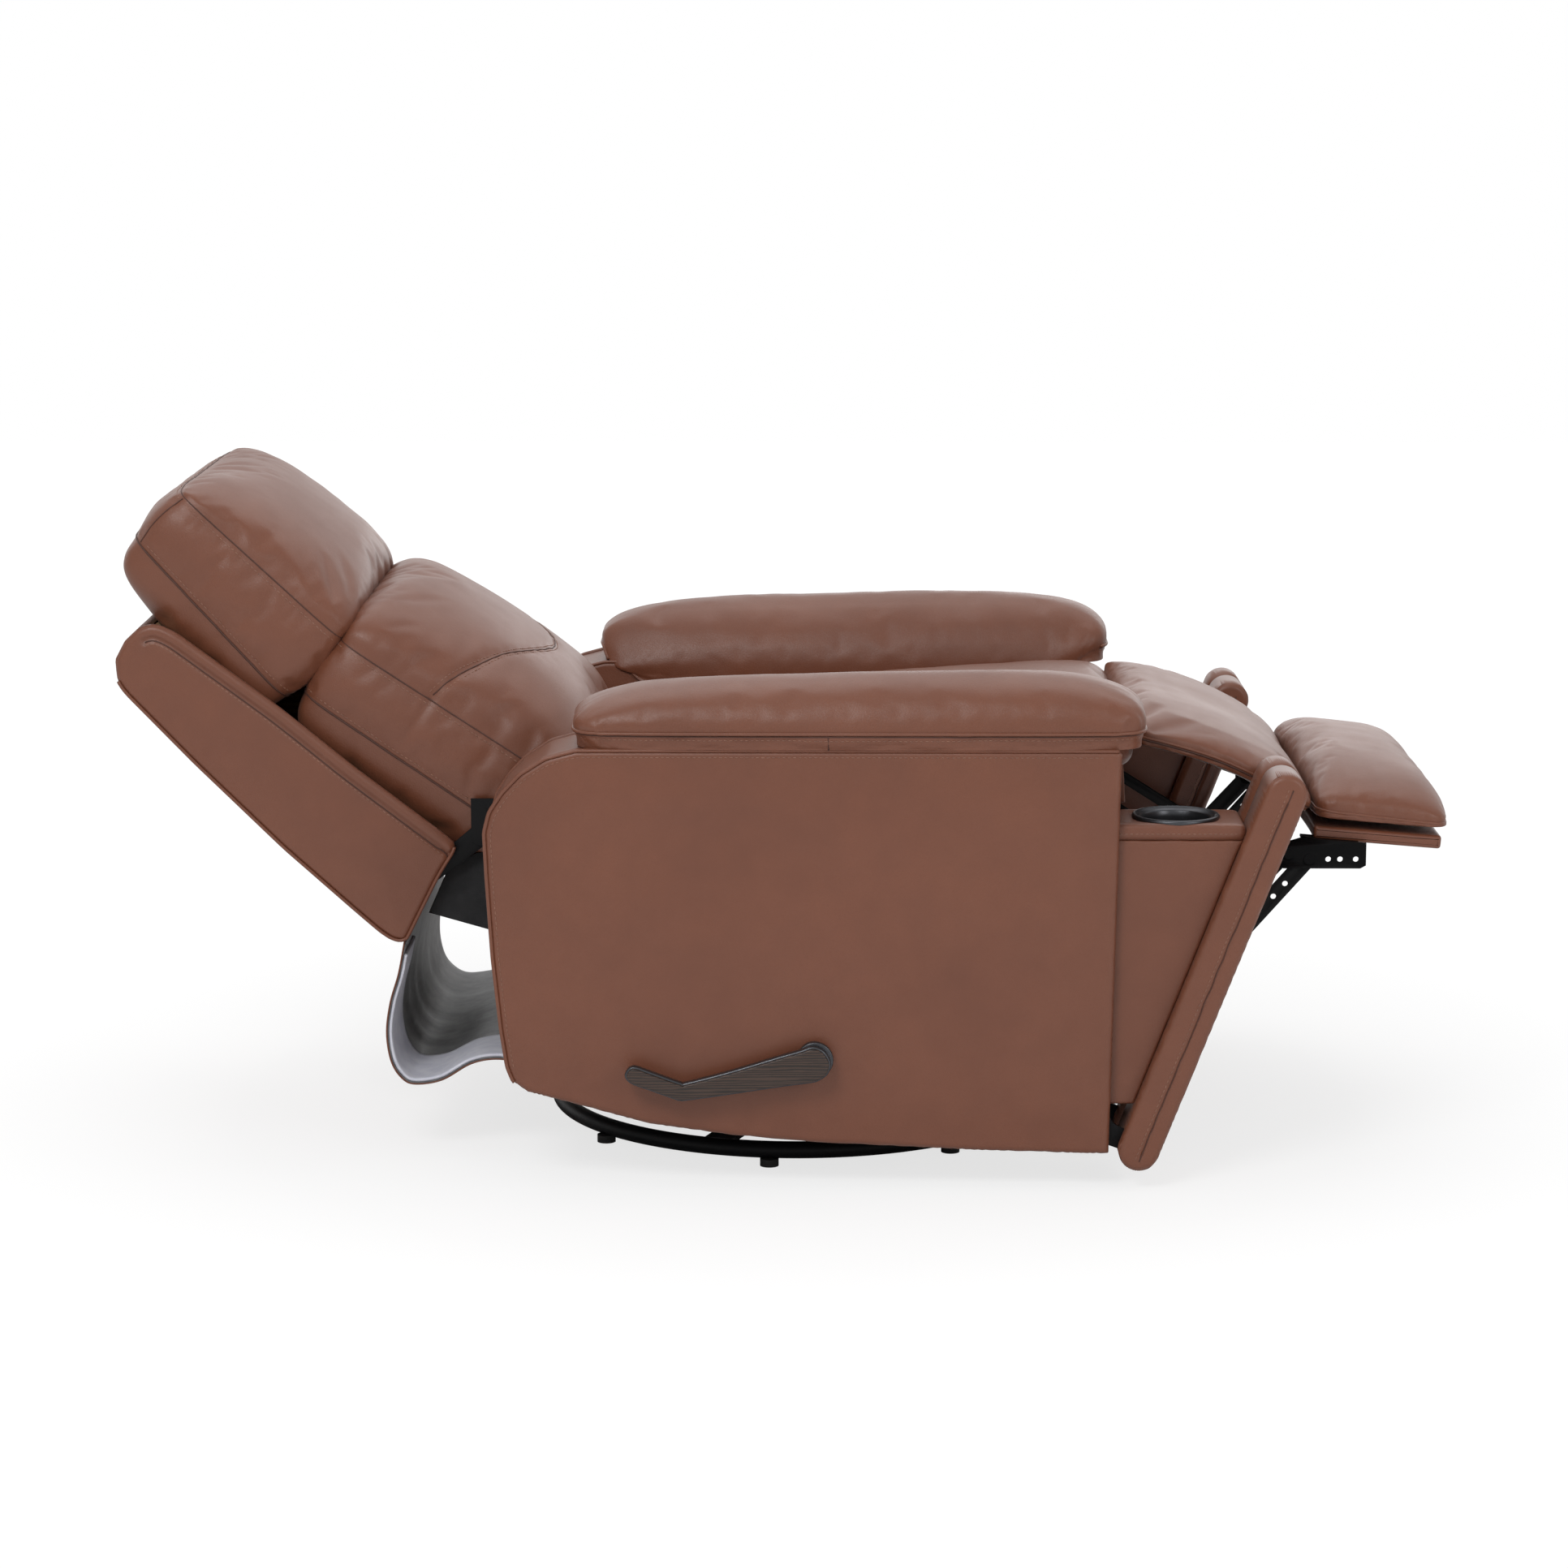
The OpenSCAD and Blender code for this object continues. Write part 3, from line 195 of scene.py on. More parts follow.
def rounded(points: np.ndarray, radius: float, step: float = 4.0) -> np.ndarray:
    """Closed polygon with its sharp corners turned to arcs and its blunt ones left to a smooth curve.

    Each corner is replaced by a quadratic curve whose ends lie at most radius, or 0.45 of
    the shorter edge, away from the corner.
    """
    p = np.asarray(points, float)
    before, after = np.roll(p, 1, axis=0) - p, np.roll(p, -1, axis=0) - p
    reach = np.minimum(np.linalg.norm(before, axis=1), np.linalg.norm(after, axis=1)) * 0.45
    reach = np.minimum(reach, radius)[:, None]
    start, end = p + unit(before) * reach, p + unit(after) * reach
    t = np.linspace(0, 1, 7)[None, :, None]
    arcs = (1 - t) ** 2 * start[:, None] + 2 * t * (1 - t) * p[:, None] + t**2 * end[:, None]
    loop = arcs.reshape(-1, p.shape[1])
    return resample(looped(loop), step, closed=True)


def inset(outline: np.ndarray, amount: float) -> np.ndarray:
    """Closed outline moved inwards along its normals, which are averaged over neighbours."""
    area = np.sum(outline[:, 0] * np.roll(outline[:, 1], -1) - np.roll(outline[:, 0], -1) * outline[:, 1])
    tangent = unit(np.roll(outline, -1, axis=0) - np.roll(outline, 1, axis=0))
    normal = np.stack([-tangent[:, 1], tangent[:, 0]], axis=1) * np.sign(area)
    return outline + normal * amount


def grid_quads(rows: int, cols: int, wrap_rows: bool = False, wrap_cols: bool = False) -> np.ndarray:
    """Corner indices of the quads of a rows by cols grid of points."""
    r = np.arange(rows if wrap_rows else rows - 1)[:, None]
    c = np.arange(cols if wrap_cols else cols - 1)[None, :]
    r2, c2 = (r + 1) % rows, (c + 1) % cols
    return np.stack([r * cols + c, r * cols + c2, r2 * cols + c2, r2 * cols + c], axis=-1).reshape(-1, 4)


def grid_normals(points: np.ndarray) -> np.ndarray:
    """Unit normals of a grid of points: the cross product of its two gradients."""
    du, dv = np.gradient(points, axis=0), np.gradient(points, axis=1)
    return unit(np.cross(du, dv))


def boundary(grid: np.ndarray) -> np.ndarray:
    """The outer loop of a grid of points, in order, without repeats."""
    return np.concatenate([grid[:-1, 0], grid[-1, :-1], grid[:0:-1, -1], grid[0, :0:-1]])


def coons(low: np.ndarray, high: np.ndarray, left: np.ndarray, right: np.ndarray) -> np.ndarray:
    """Grid of points between four edge curves that share their corners.

    The blend of the two pairs of opposite edges, less the bilinear blend of the corners.

    Args:
        low: Lower edge, left to right.
        high: Upper edge, left to right.
        left: Left edge, low to high.
        right: Right edge, low to high.

    Returns:
        Array of len(left) rows, len(low) columns and the points' coordinates.
    """
    v = np.linspace(0, 1, len(left))[:, None, None]
    u = np.linspace(0, 1, len(low))[None, :, None]
    along = (1 - v) * low[None] + v * high[None] + (1 - u) * left[:, None] + u * right[:, None]
    corners = (1 - u) * (1 - v) * low[0] + u * (1 - v) * low[-1] + (1 - u) * v * high[0] + u * v * high[-1]
    return along - corners


def eased(curve: np.ndarray, count: int) -> np.ndarray:
    """A polyline resampled to count points that lie closer together near its ends."""
    length = lengths_along(curve)
    t = np.linspace(0, 1, count)
    return at_lengths(curve, length, length[-1] * (0.45 * t + 0.55 * (1 - np.cos(np.pi * t)) / 2))


def nearest(points: np.ndarray, loop: np.ndarray) -> np.ndarray:
    """Distance from each point of a grid to the closest of a loop's points."""
    flat = points.reshape(-1, points.shape[-1])
    own = (loop**2).sum(1)[None]
    parts = [(own - 2 * part @ loop.T).min(1) + (part**2).sum(1) for part in np.array_split(flat, 40)]
    return np.sqrt(np.maximum(0, np.concatenate(parts))).reshape(points.shape[:-1])


def run(loop: np.ndarray, keep: np.ndarray) -> np.ndarray:
    """The part of a closed loop where keep is true, in order."""
    first = int(np.flatnonzero(keep & ~np.roll(keep, 1))[0])
    return np.roll(loop, -first, axis=0)[np.roll(keep, -first)]


def beside(path: np.ndarray, distance: float) -> np.ndarray:
    """An open path in X and Z moved to its left."""
    tangent = unit(np.gradient(path, axis=0))
    return path + np.stack([-tangent[:, 1], tangent[:, 0]], axis=1) * distance


def circle(centre: tuple[float, float], radius: float, count: int = 72) -> np.ndarray:
    """Points of a circle in a plane."""
    turn = np.linspace(0, 2 * np.pi, count, endpoint=False)[:, None]
    return np.array(centre) + radius * np.hstack([np.cos(turn), np.sin(turn)])


def in_plane(xz: np.ndarray, y: float | np.ndarray) -> np.ndarray:
    """Points in X and Z put at Y = y."""
    return np.stack([xz[..., 0], np.broadcast_to(y, xz.shape[:-1]), xz[..., 1]], axis=-1)


# Meshes


def linked(name: str, data: bpy.types.ID) -> bpy.types.Object:
    """A new object of that data in the scene."""
    obj = bpy.data.objects.new(name, data)
    bpy.context.scene.collection.objects.link(obj)
    return obj


def cleaned(mesh: bpy.types.Mesh, weld: float, flatten: bool = False) -> bpy.types.Mesh:
    """Welds a mesh's doubles, turns its faces outwards and shades them smooth.

    Args:
        mesh: The mesh, which is changed.
        weld: Distance in millimetres at which points merge.
        flatten: Whether triangles that lie in one plane are joined first.

    Returns:
        The mesh.
    """
    tidy = bmesh.new()
    tidy.from_mesh(mesh)
    bmesh.ops.remove_doubles(tidy, verts=tidy.verts, dist=weld * MM)
    if flatten:
        bmesh.ops.dissolve_limit(tidy, angle_limit=math.radians(1.0), verts=tidy.verts, edges=tidy.edges)
    bmesh.ops.recalc_face_normals(tidy, faces=tidy.faces)
    tidy.to_mesh(mesh)
    tidy.free()
    mesh.polygons.foreach_set("use_smooth", np.full(len(mesh.polygons), True))
    return mesh


@dataclass
class Shell:
    """Collects point grids and makes one closed mesh of them."""

    name: str
    points: list[np.ndarray] = field(default_factory=list)
    quads: list[np.ndarray] = field(default_factory=list)
    caps: list[np.ndarray] = field(default_factory=list)
    count: int = 0

    def add(self, grid: np.ndarray, wrap_rows: bool = False, wrap_cols: bool = False) -> int:
        """Adds a grid of points in millimetres.

        Args:
            grid: Array of rows, columns and three coordinates.
            wrap_rows: Whether the last row joins the first.
            wrap_cols: Whether the last column joins the first.

        Returns:
            The index of the grid's first point.
        """
        start = self.count
        self.points.append(grid.reshape(-1, 3))
        self.quads.append(grid_quads(grid.shape[0], grid.shape[1], wrap_rows, wrap_cols) + start)
        self.count += grid.shape[0] * grid.shape[1]
        return start

    def add_layer(self, front: np.ndarray, back: np.ndarray) -> None:
        """Adds two grids of one size and the strip between their edges."""
        self.add(front)
        self.add(back)
        self.add(np.stack([boundary(front), boundary(back)]), wrap_cols=True)

    def cap(self, start: int, count: int, flip: bool = False) -> None:
        """Closes a loop of points with one flat face."""
        loop = np.arange(start, start + count)
        self.caps.append(loop[::-1] if flip else loop)

    def build(self, weld: float = 0.02) -> bpy.types.Object:
        """Makes the object, at the origin, and welds doubles that are closer than weld millimetres."""
        points, quads = np.vstack(self.points) * MM, np.vstack(self.quads)
        mesh = bpy.data.meshes.new(self.name)
        loops = np.concatenate([quads.ravel()] + self.caps)
        sizes = np.concatenate([np.full(len(quads), 4), [len(c) for c in self.caps]]).astype(np.int32)
        mesh.vertices.add(len(points))
        mesh.vertices.foreach_set("co", points.astype(np.float32).ravel())
        mesh.loops.add(len(loops))
        mesh.loops.foreach_set("vertex_index", loops.astype(np.int32))
        mesh.polygons.add(len(sizes))
        mesh.polygons.foreach_set("loop_start", np.concatenate([[0], np.cumsum(sizes)[:-1]]).astype(np.int32))
        mesh.update(calc_edges=True)
        cleaned(mesh, weld).validate()
        return linked(self.name, mesh)


def apply_modifiers(obj: bpy.types.Object) -> bpy.types.Object:
    """Puts the object's modifiers into its mesh."""
    evaluated = obj.evaluated_get(bpy.context.evaluated_depsgraph_get())
    mesh = bpy.data.meshes.new_from_object(evaluated)
    obj.modifiers.clear()
    obj.data = mesh
    return obj


def read_points(obj: bpy.types.Object) -> np.ndarray:
    """The mesh's points in metres."""
    points = np.empty(len(obj.data.vertices) * 3, np.float32)
    obj.data.vertices.foreach_get("co", points)
    return points.reshape(-1, 3).astype(float)


def frames_along(path: np.ndarray, closed: bool, up: np.ndarray) -> tuple[np.ndarray, np.ndarray]:
    """Two unit vectors across a path at each point, the first as near to up as can be."""
    tangent = np.roll(path, -1, axis=0) - np.roll(path, 1, axis=0)
    if not closed:
        tangent[0], tangent[-1] = path[1] - path[0], path[-1] - path[-2]
    tangent = unit(tangent)
    first = unit(np.broadcast_to(up, path.shape) - np.sum(tangent * up, axis=1, keepdims=True) * tangent)
    return first, np.cross(tangent, first)


def tube(shell: Shell, path: np.ndarray, radius: float, closed: bool = False, sides: int = 8,
         up: tuple[float, float, float] = (0.13, 0.97, 0.2)) -> None:
    """Adds a round tube along a path: a circle carried along it.

    Args:
        shell: Shell that takes the tube.
        path: Rows of points in millimetres.
        radius: Radius of the tube.
        closed: Whether the path is a loop.
        sides: Points round the circle.
        up: Rough direction that the circles start from.
    """
    first, second = frames_along(path, closed, np.array(up))
    angle = np.linspace(0, 2 * np.pi, sides, endpoint=False)[None, :, None]
    rings = path[:, None] + radius * (np.cos(angle) * first[:, None] + np.sin(angle) * second[:, None])
    start = shell.add(rings, wrap_rows=closed, wrap_cols=True)
    if not closed:
        shell.cap(start, sides, flip=True)
        shell.cap(start + (len(path) - 1) * sides, sides)


def stitches(shell: Shell, path: np.ndarray, normal: np.ndarray, spacing: float = 6.5,
             length: float = 4.2, radius: float = 0.65) -> None:
    """Adds a row of stitches: small capsules that lie along a path on a surface.

    Args:
        shell: Shell that takes the stitches.
        path: Rows of points on the surface, in millimetres.
        normal: Surface normals at those points.
        spacing: Distance from stitch to stitch.
        length: Length of a stitch.
        radius: Radius of the thread.
    """
    length_along = lengths_along(path)
    count = max(2, int(length_along[-1] / spacing))
    places = (np.arange(count) + 0.5) / count * length_along[-1]
    at, out = at_lengths(path, length_along, places), unit(at_lengths(normal, length_along, places))
    along = unit(np.gradient(at, axis=0))
    side = np.cross(out, along)
    profile = np.array([[-0.5, 0.15], [-0.36, 0.85], [0, 1.0], [0.36, 0.85], [0.5, 0.15]])
    angle = np.linspace(0, 2 * np.pi, 5, endpoint=False)
    x = (profile[:, 0] * length)[None, :, None, None]
    r = (profile[:, 1] * radius)[None, :, None, None]
    c, s = np.cos(angle)[None, None, :, None], np.sin(angle)[None, None, :, None]
    grids = (at[:, None, None] + x * along[:, None, None]
             + r * (c * out[:, None, None] + s * side[:, None, None]))
    for grid in grids:
        start = shell.add(grid, wrap_cols=True)
        shell.cap(start, 5, flip=True)
        shell.cap(start + 20, 5)


def slab(shell: Shell, outline: np.ndarray, y0: float, y1: float, radius: float, wander: float = 0.0,
         seed: int = 3) -> None:
    """Adds an outline extruded along Y, with rounded edges.

    Rings of the outline go round a quarter circle at each end and across between them, where
    a little noise moves them outwards.

    Args:
        shell: Shell that takes the slab.
        outline: Closed outline in X and Z.
        y0: Lower Y.
        y1: Upper Y.
        radius: Radius of the rounded edges.
        wander: Height of the noise between the ends.
        seed: Seed of the noise.
    """
    turn = np.linspace(0, np.pi / 2, 6)
    across = np.linspace(-1, 1, 13)[1:-1]
    round_in, round_y = radius * (1 - np.sin(turn)), radius * (1 - np.cos(turn))
    pull = np.concatenate([round_in, 0 * across, round_in[::-1]])
    between = (y0 + y1) / 2 + across * (y1 - y0 - 2 * radius) / 2
    y = np.concatenate([y0 + round_y, between, y1 - round_y[::-1]])
    length = np.arange(len(outline)) * np.linalg.norm(outline[1] - outline[0])
    edge = np.clip(np.minimum(y - y0, y1 - y) / 25, 0, 1)
    rings = [in_plane(inset(outline, p), v) for p, v in zip(pull, y)]
    shift = [wander * e * noise(length / 60, np.full_like(length, v / 45), seed) for e, v in zip(edge, y)]
    rings = [in_plane(inset(ring[:, [0, 2]], -k[:, None]), ring[0, 1]) for ring, k in zip(rings, shift)]
    start = shell.add(np.stack(rings), wrap_cols=True)
    shell.cap(start, len(outline), flip=True)
    shell.cap(start + (len(rings) - 1) * len(outline), len(outline))


@dataclass
class Panel:
    """A flat upholstered panel in X and Z between four edge curves, with one padded face.

    A groove is a depth and a width; it runs along each of the lines in grooves.
    """

    edges: tuple[np.ndarray, np.ndarray, np.ndarray, np.ndarray]
    face: float
    thick: float
    out: int
    radius: float = 9.0
    puff: float = 3.0
    wander: float = 1.0
    seed: int = 5
    cells: tuple[int, int] = (90, 120)
    grooves: tuple[np.ndarray, ...] = ()
    groove: tuple[float, float] = (2.2, 3.2)

    def grid(self) -> np.ndarray:
        """The panel's grid in X and Z."""
        low, high, left, right = self.edges
        return coons(eased(low, self.cells[1]), eased(high, self.cells[1]),
                     eased(left, self.cells[0]), eased(right, self.cells[0]))

    def front(self) -> np.ndarray:
        """The padded face: rounded at the edges, risen inside them, with slow noise."""
        flat = self.grid()
        away = nearest(flat, resample(boundary(flat), 2.0, closed=True))
        near = np.minimum(away, self.radius)
        drop = self.radius - np.sqrt(np.maximum(0, self.radius**2 - (self.radius - near) ** 2))
        inside = smoothstep(away / 70)
        slow = noise(flat[..., 0] / 130, flat[..., 1] / 110, self.seed)
        fine = noise(flat[..., 0] / 38, flat[..., 1] / 46, self.seed + 1)
        lift = self.puff * inside + self.wander * inside * (slow + 0.35 * fine)
        for line in self.grooves:
            across = nearest(flat, resample(line, 1.5))
            lift = lift - self.groove[0] * np.exp(-(across / self.groove[1]) ** 2)
        return in_plane(flat, self.face + self.out * (lift - drop))

    def add(self, shell: Shell) -> None:
        """Adds the closed panel to a shell."""
        front = self.front()
        back = in_plane(front[..., [0, 2]], self.face - self.out * self.thick)
        shell.add_layer(front, back)


def on_surface(obj: bpy.types.Object, path: np.ndarray) -> tuple[np.ndarray, np.ndarray]:
    """A path's nearest points on a piece, in millimetres, and the normals there."""
    tree = BVHTree.FromObject(obj, bpy.context.evaluated_depsgraph_get())
    hits = [tree.find_nearest(Vector(point)) for point in path * MM]
    return np.array([hit[0] for hit in hits]) / MM, np.array([hit[1] for hit in hits])


def steadied(path: np.ndarray, closed: bool = False) -> np.ndarray:
    """A path with each point drawn halfway to its neighbours' middle, twice over."""
    for _ in range(2):
        middle = (np.roll(path, 1, axis=0) + np.roll(path, -1, axis=0)) / 2
        if not closed:
            middle[0], middle[-1] = path[0], path[-1]
        path = (path + middle) / 2
    return path


def quarters(loop: np.ndarray, corners: Points) -> tuple[np.ndarray, ...]:
    """Cuts a closed outline at four corners.

    Args:
        loop: Outline in X and Z.
        corners: Points near its lower rear, lower front, upper front and upper rear corners.

    Returns:
        The lower, upper, rear and front edge, each from rear to front or upwards.
    """
    loop = resample(looped(loop), 2.0, closed=True)
    turn = np.sum(loop[:, 0] * np.roll(loop[:, 1], -1) - np.roll(loop[:, 0], -1) * loop[:, 1])
    loop = loop if turn > 0 else loop[::-1]
    a, b, c, d = (int(np.argmin(((loop - np.array(corner)) ** 2).sum(1))) for corner in corners)
    low, front, high, rear = (loop[np.arange(i, i + (j - i) % len(loop) + 1) % len(loop)]
                              for i, j in ((a, b), (b, c), (c, d), (d, a)))
    return low, high[::-1], rear[::-1], front


def ribbon(path: np.ndarray, thick: float, step: float = 5.0) -> np.ndarray:
    """Closed outline of a strip: a path, and the same path thick to its left, backwards."""
    path = resample(path, step)
    return np.vstack([path, beside(path, thick)[::-1]])


def node_outline(frame: dict, node: str, y: float) -> np.ndarray:
    """The longest edge loop of a CAD node's flat face at Y = y.

    The face's triangles are found by their Y; edges used once are its border, walked in order.

    Args:
        node: Name of the CAD node.
        y: Y of the face in millimetres.

    Returns:
        Rows of X and Z in millimetres.
    """
    mesh = frame["nodes"][node].data
    co = np.empty(len(mesh.vertices) * 3, np.float32)
    mesh.vertices.foreach_get("co", co)
    co = co.reshape(-1, 3) / MM
    unique, index = np.unique(np.round(co, 2), axis=0, return_inverse=True)
    mesh.calc_loop_triangles()
    tris = np.empty(len(mesh.loop_triangles) * 3, np.int32)
    mesh.loop_triangles.foreach_get("vertices", tris)
    tris = index.ravel()[tris].reshape(-1, 3)
    tris = tris[np.all(np.abs(unique[tris][:, :, 1] - y) < 0.05, axis=1)]
    edges = np.sort(np.vstack([tris[:, [0, 1]], tris[:, [1, 2]], tris[:, [2, 0]]]), axis=1)
    pairs, uses = np.unique(edges, axis=0, return_counts=True)
    near: dict[int, list[int]] = {}
    for a, b in pairs[uses == 1]:
        near.setdefault(int(a), []).append(int(b))
        near.setdefault(int(b), []).append(int(a))
    loops = []
    while near:
        loop = [next(iter(near))]
        while near.get(loop[-1]):
            step = near[loop[-1]].pop()
            near[step].remove(loop[-1])
            loop.append(step)
        for seen in loop:
            near.pop(seen, None)
        loops.append(unique[loop[:-1]][:, [0, 2]])
    return max(loops, key=lambda q: np.ptp(q, axis=0).sum())


# Finishes


class Nodes:
    """Short ways to place and join shader nodes in one tree."""

    def __init__(self, tree: bpy.types.NodeTree) -> None:
        """Keeps the tree that new nodes go to."""
        self.tree = tree
        self.column = 0

    def new(self, kind: str, inputs: dict | None = None, **settings: object) -> bpy.types.Node:
        """Adds a node.

        Args:
            kind: Node type without the ShaderNode prefix, or in full.
            inputs: Socket name or index to a value, or to an output socket to link.
            settings: Properties of the node.

        Returns:
            The node.
        """
        full = kind if kind.startswith(("Shader", "Node")) else "ShaderNode" + kind
        node = self.tree.nodes.new(full)
        self.column += 1
        node.location = (180 * (self.column % 12), -220 * (self.column // 12))
        for key, value in settings.items():
            setattr(node, key, value)
        return self.feed(node, inputs or {})

    def feed(self, node: bpy.types.Node, inputs: dict) -> bpy.types.Node:
        """Sets a node's inputs, or links those whose value is an output socket."""
        for key, value in inputs.items():
            if isinstance(value, bpy.types.NodeSocket):
                self.tree.links.new(value, node.inputs[key])
            else:
                node.inputs[key].default_value = value
        return node

    def math(self, operation: str, a: object, b: object = 0.0) -> bpy.types.NodeSocket:
        """Output of a Math node."""
        return self.new("Math", {0: a, 1: b}, operation=operation).outputs[0]

    def mix(self, factor: object, a: object, b: object) -> bpy.types.NodeSocket:
        """Colour between a and b."""
        return self.new("Mix", {0: factor, 6: a, 7: b}, data_type="RGBA").outputs[2]

    def blend(self, a: object, a_share: float, b: object, b_share: float) -> bpy.types.NodeSocket:
        """Sum of a and b, each times its share."""
        return self.math("ADD", self.math("MULTIPLY", a, a_share), self.math("MULTIPLY", b, b_share))

    def ramp(self, value: object, low: float, high: float, to_low: float = 0.0,
             to_high: float = 1.0) -> bpy.types.NodeSocket:
        """Value moved from low..high to to_low..to_high, clamped."""
        return self.new("MapRange", {0: value, 1: low, 2: high, 3: to_low, 4: to_high}).outputs[0]


def new_group(name: str, inputs: dict[str, float], outputs: tuple[str, ...]) -> tuple[Nodes, object, object]:
    """Starts a node group with a Vector input and plain value sockets.

    Args:
        name: Name of the group.
        inputs: Value inputs and their defaults.
        outputs: Names of the value outputs.

    Returns:
        The node helper, the group's input node and its output node.
    """
    tree = bpy.data.node_groups.new(name, "ShaderNodeTree")
    tree.interface.new_socket("Vector", in_out="INPUT", socket_type="NodeSocketVector")
    for key, value in inputs.items():
        tree.interface.new_socket(key, in_out="INPUT", socket_type="NodeSocketFloat").default_value = value
    for key in outputs:
        tree.interface.new_socket(key, in_out="OUTPUT", socket_type="NodeSocketFloat")
    nodes = Nodes(tree)
    return nodes, tree.nodes.new("NodeGroupInput"), tree.nodes.new("NodeGroupOutput")


def hide_group() -> bpy.types.NodeTree:
    """Leather's pebbled grain, fine creases and slow tone changes, from Object coordinates."""
    nodes, given, out = new_group("hide_grain", {"Grain": 620.0, "Crease": 0.5}, ("Tone", "Height", "Pores"))
    vector = given.outputs["Vector"]
    cells = nodes.new("TexVoronoi", {"Vector": vector, "Scale": given.outputs["Grain"]}, feature="SMOOTH_F1")
    fine = nodes.new("TexNoise", {"Vector": vector, "Scale": 2400.0, "Detail": 3.0})
    crease = nodes.new("TexNoise", {"Vector": vector, "Scale": 95.0, "Detail": 7.0, "Roughness": 0.62,
                                    "Distortion": 1.6})
    slow = nodes.new("TexNoise", {"Vector": vector, "Scale": 5.0, "Detail": 4.0, "Roughness": 0.55})
    middle = nodes.new("TexNoise", {"Vector": vector, "Scale": 28.0, "Detail": 3.0})
    ridge = nodes.math("ABSOLUTE", nodes.math("SUBTRACT", crease.outputs[0], 0.5))
    line = nodes.ramp(ridge, 0.0, 0.05, 1.0, 0.0)
    line = nodes.math("MULTIPLY", line, given.outputs["Crease"])
    pebble = nodes.math("SUBTRACT", 0.6, cells.outputs["Distance"])
    height = nodes.blend(pebble, 0.8, fine.outputs[0], 0.25)
    height = nodes.math("SUBTRACT", height, nodes.math("MULTIPLY", line, 0.55))
    tone = nodes.blend(slow.outputs[0], 0.7, middle.outputs[0], 0.3)
    nodes.feed(out, {"Tone": nodes.ramp(tone, 0.3, 0.7), "Height": height,
                     "Pores": nodes.ramp(cells.outputs["Distance"], 0.35, 0.75)})
    return nodes.tree


def coat_group() -> bpy.types.NodeTree:
    """Paint's orange peel, dust and wear on a metal, from Object coordinates."""
    nodes, given, out = new_group("metal_coat", {"Peel": 900.0}, ("Height", "Dust", "Wear"))
    vector = given.outputs["Vector"]
    peel = nodes.new("TexNoise", {"Vector": vector, "Scale": given.outputs["Peel"], "Detail": 2.0})
    dust = nodes.new("TexNoise", {"Vector": vector, "Scale": 16.0, "Detail": 5.0, "Roughness": 0.6})
    wear = nodes.new("TexNoise", {"Vector": vector, "Scale": 75.0, "Detail": 6.0, "Roughness": 0.7})
    nodes.feed(out, {"Height": peel.outputs[0], "Dust": nodes.ramp(dust.outputs[0], 0.42, 0.7),
                     "Wear": nodes.ramp(wear.outputs[0], 0.62, 0.72)})
    return nodes.tree


def weave_group() -> bpy.types.NodeTree:
    """Over-and-under threads of a plain weave, from Object coordinates."""
    nodes, given, out = new_group("plain_weave", {"Threads": 900.0}, ("Height", "Slub"))
    vector = given.outputs["Vector"]
    split = nodes.new("SeparateXYZ", {0: vector})
    waves = [nodes.math("SINE", nodes.math("MULTIPLY", axis, given.outputs["Threads"]))
             for axis in split.outputs]
    height = nodes.math("MULTIPLY", nodes.math("ADD", waves[0], waves[2]), waves[1])
    slub = nodes.new("TexNoise", {"Vector": vector, "Scale": 60.0, "Detail": 4.0})
    nodes.feed(out, {"Height": nodes.ramp(height, -2.0, 2.0), "Slub": slub.outputs[0]})
    return nodes.tree


Colour = tuple[float, float, float, float]


def fresh_nodes(owner: bpy.types.Material | bpy.types.World) -> Nodes:
    """The helper for the emptied node tree of a material or world."""
    owner.use_nodes = True
    owner.node_tree.nodes.clear()
    return Nodes(owner.node_tree)


def start_material(name: str) -> tuple[bpy.types.Material, Nodes, bpy.types.Node, bpy.types.NodeSocket]:
    """A new node material, its helper, its Principled node and Object coordinates."""
    material = bpy.data.materials.new(name)
    nodes = fresh_nodes(material)
    shader = nodes.new("BsdfPrincipled")
    nodes.new("OutputMaterial", {"Surface": shader.outputs[0]})
    return material, nodes, shader, nodes.new("TexCoord").outputs["Object"]


@dataclass(frozen=True)
class Hide:
    """A leather."""

    name: str
    colour: Colour
    deep: Colour
    roughness: float = 0.4
    crease: float = 0.5
    bump: float = 0.3

    def make(self, groups: dict[str, bpy.types.NodeTree]) -> bpy.types.Material:
        """Builds the material: tone and pores change the colour and the gloss, grain the normal."""
        material, nodes, shader, at = start_material(self.name)
        grain = nodes.new("Group", {"Vector": at, "Crease": self.crease}, node_tree=groups["hide"]).outputs
        colour = nodes.mix(grain["Tone"], self.deep, self.colour)
        colour = nodes.mix(nodes.math("MULTIPLY", grain["Pores"], 0.35), colour, self.deep)
        rough = nodes.ramp(grain["Tone"], 0.0, 1.0, self.roughness + 0.06, self.roughness - 0.04)
        bump = nodes.new("Bump", {"Height": grain["Height"], "Strength": self.bump, "Distance": 0.0005})
        nodes.feed(shader, {"Base Color": colour, "Roughness": rough, "Normal": bump.outputs[0],
                            "Specular IOR Level": 0.5, "Sheen Weight": 0.03, "Sheen Roughness": 0.45})
        return material


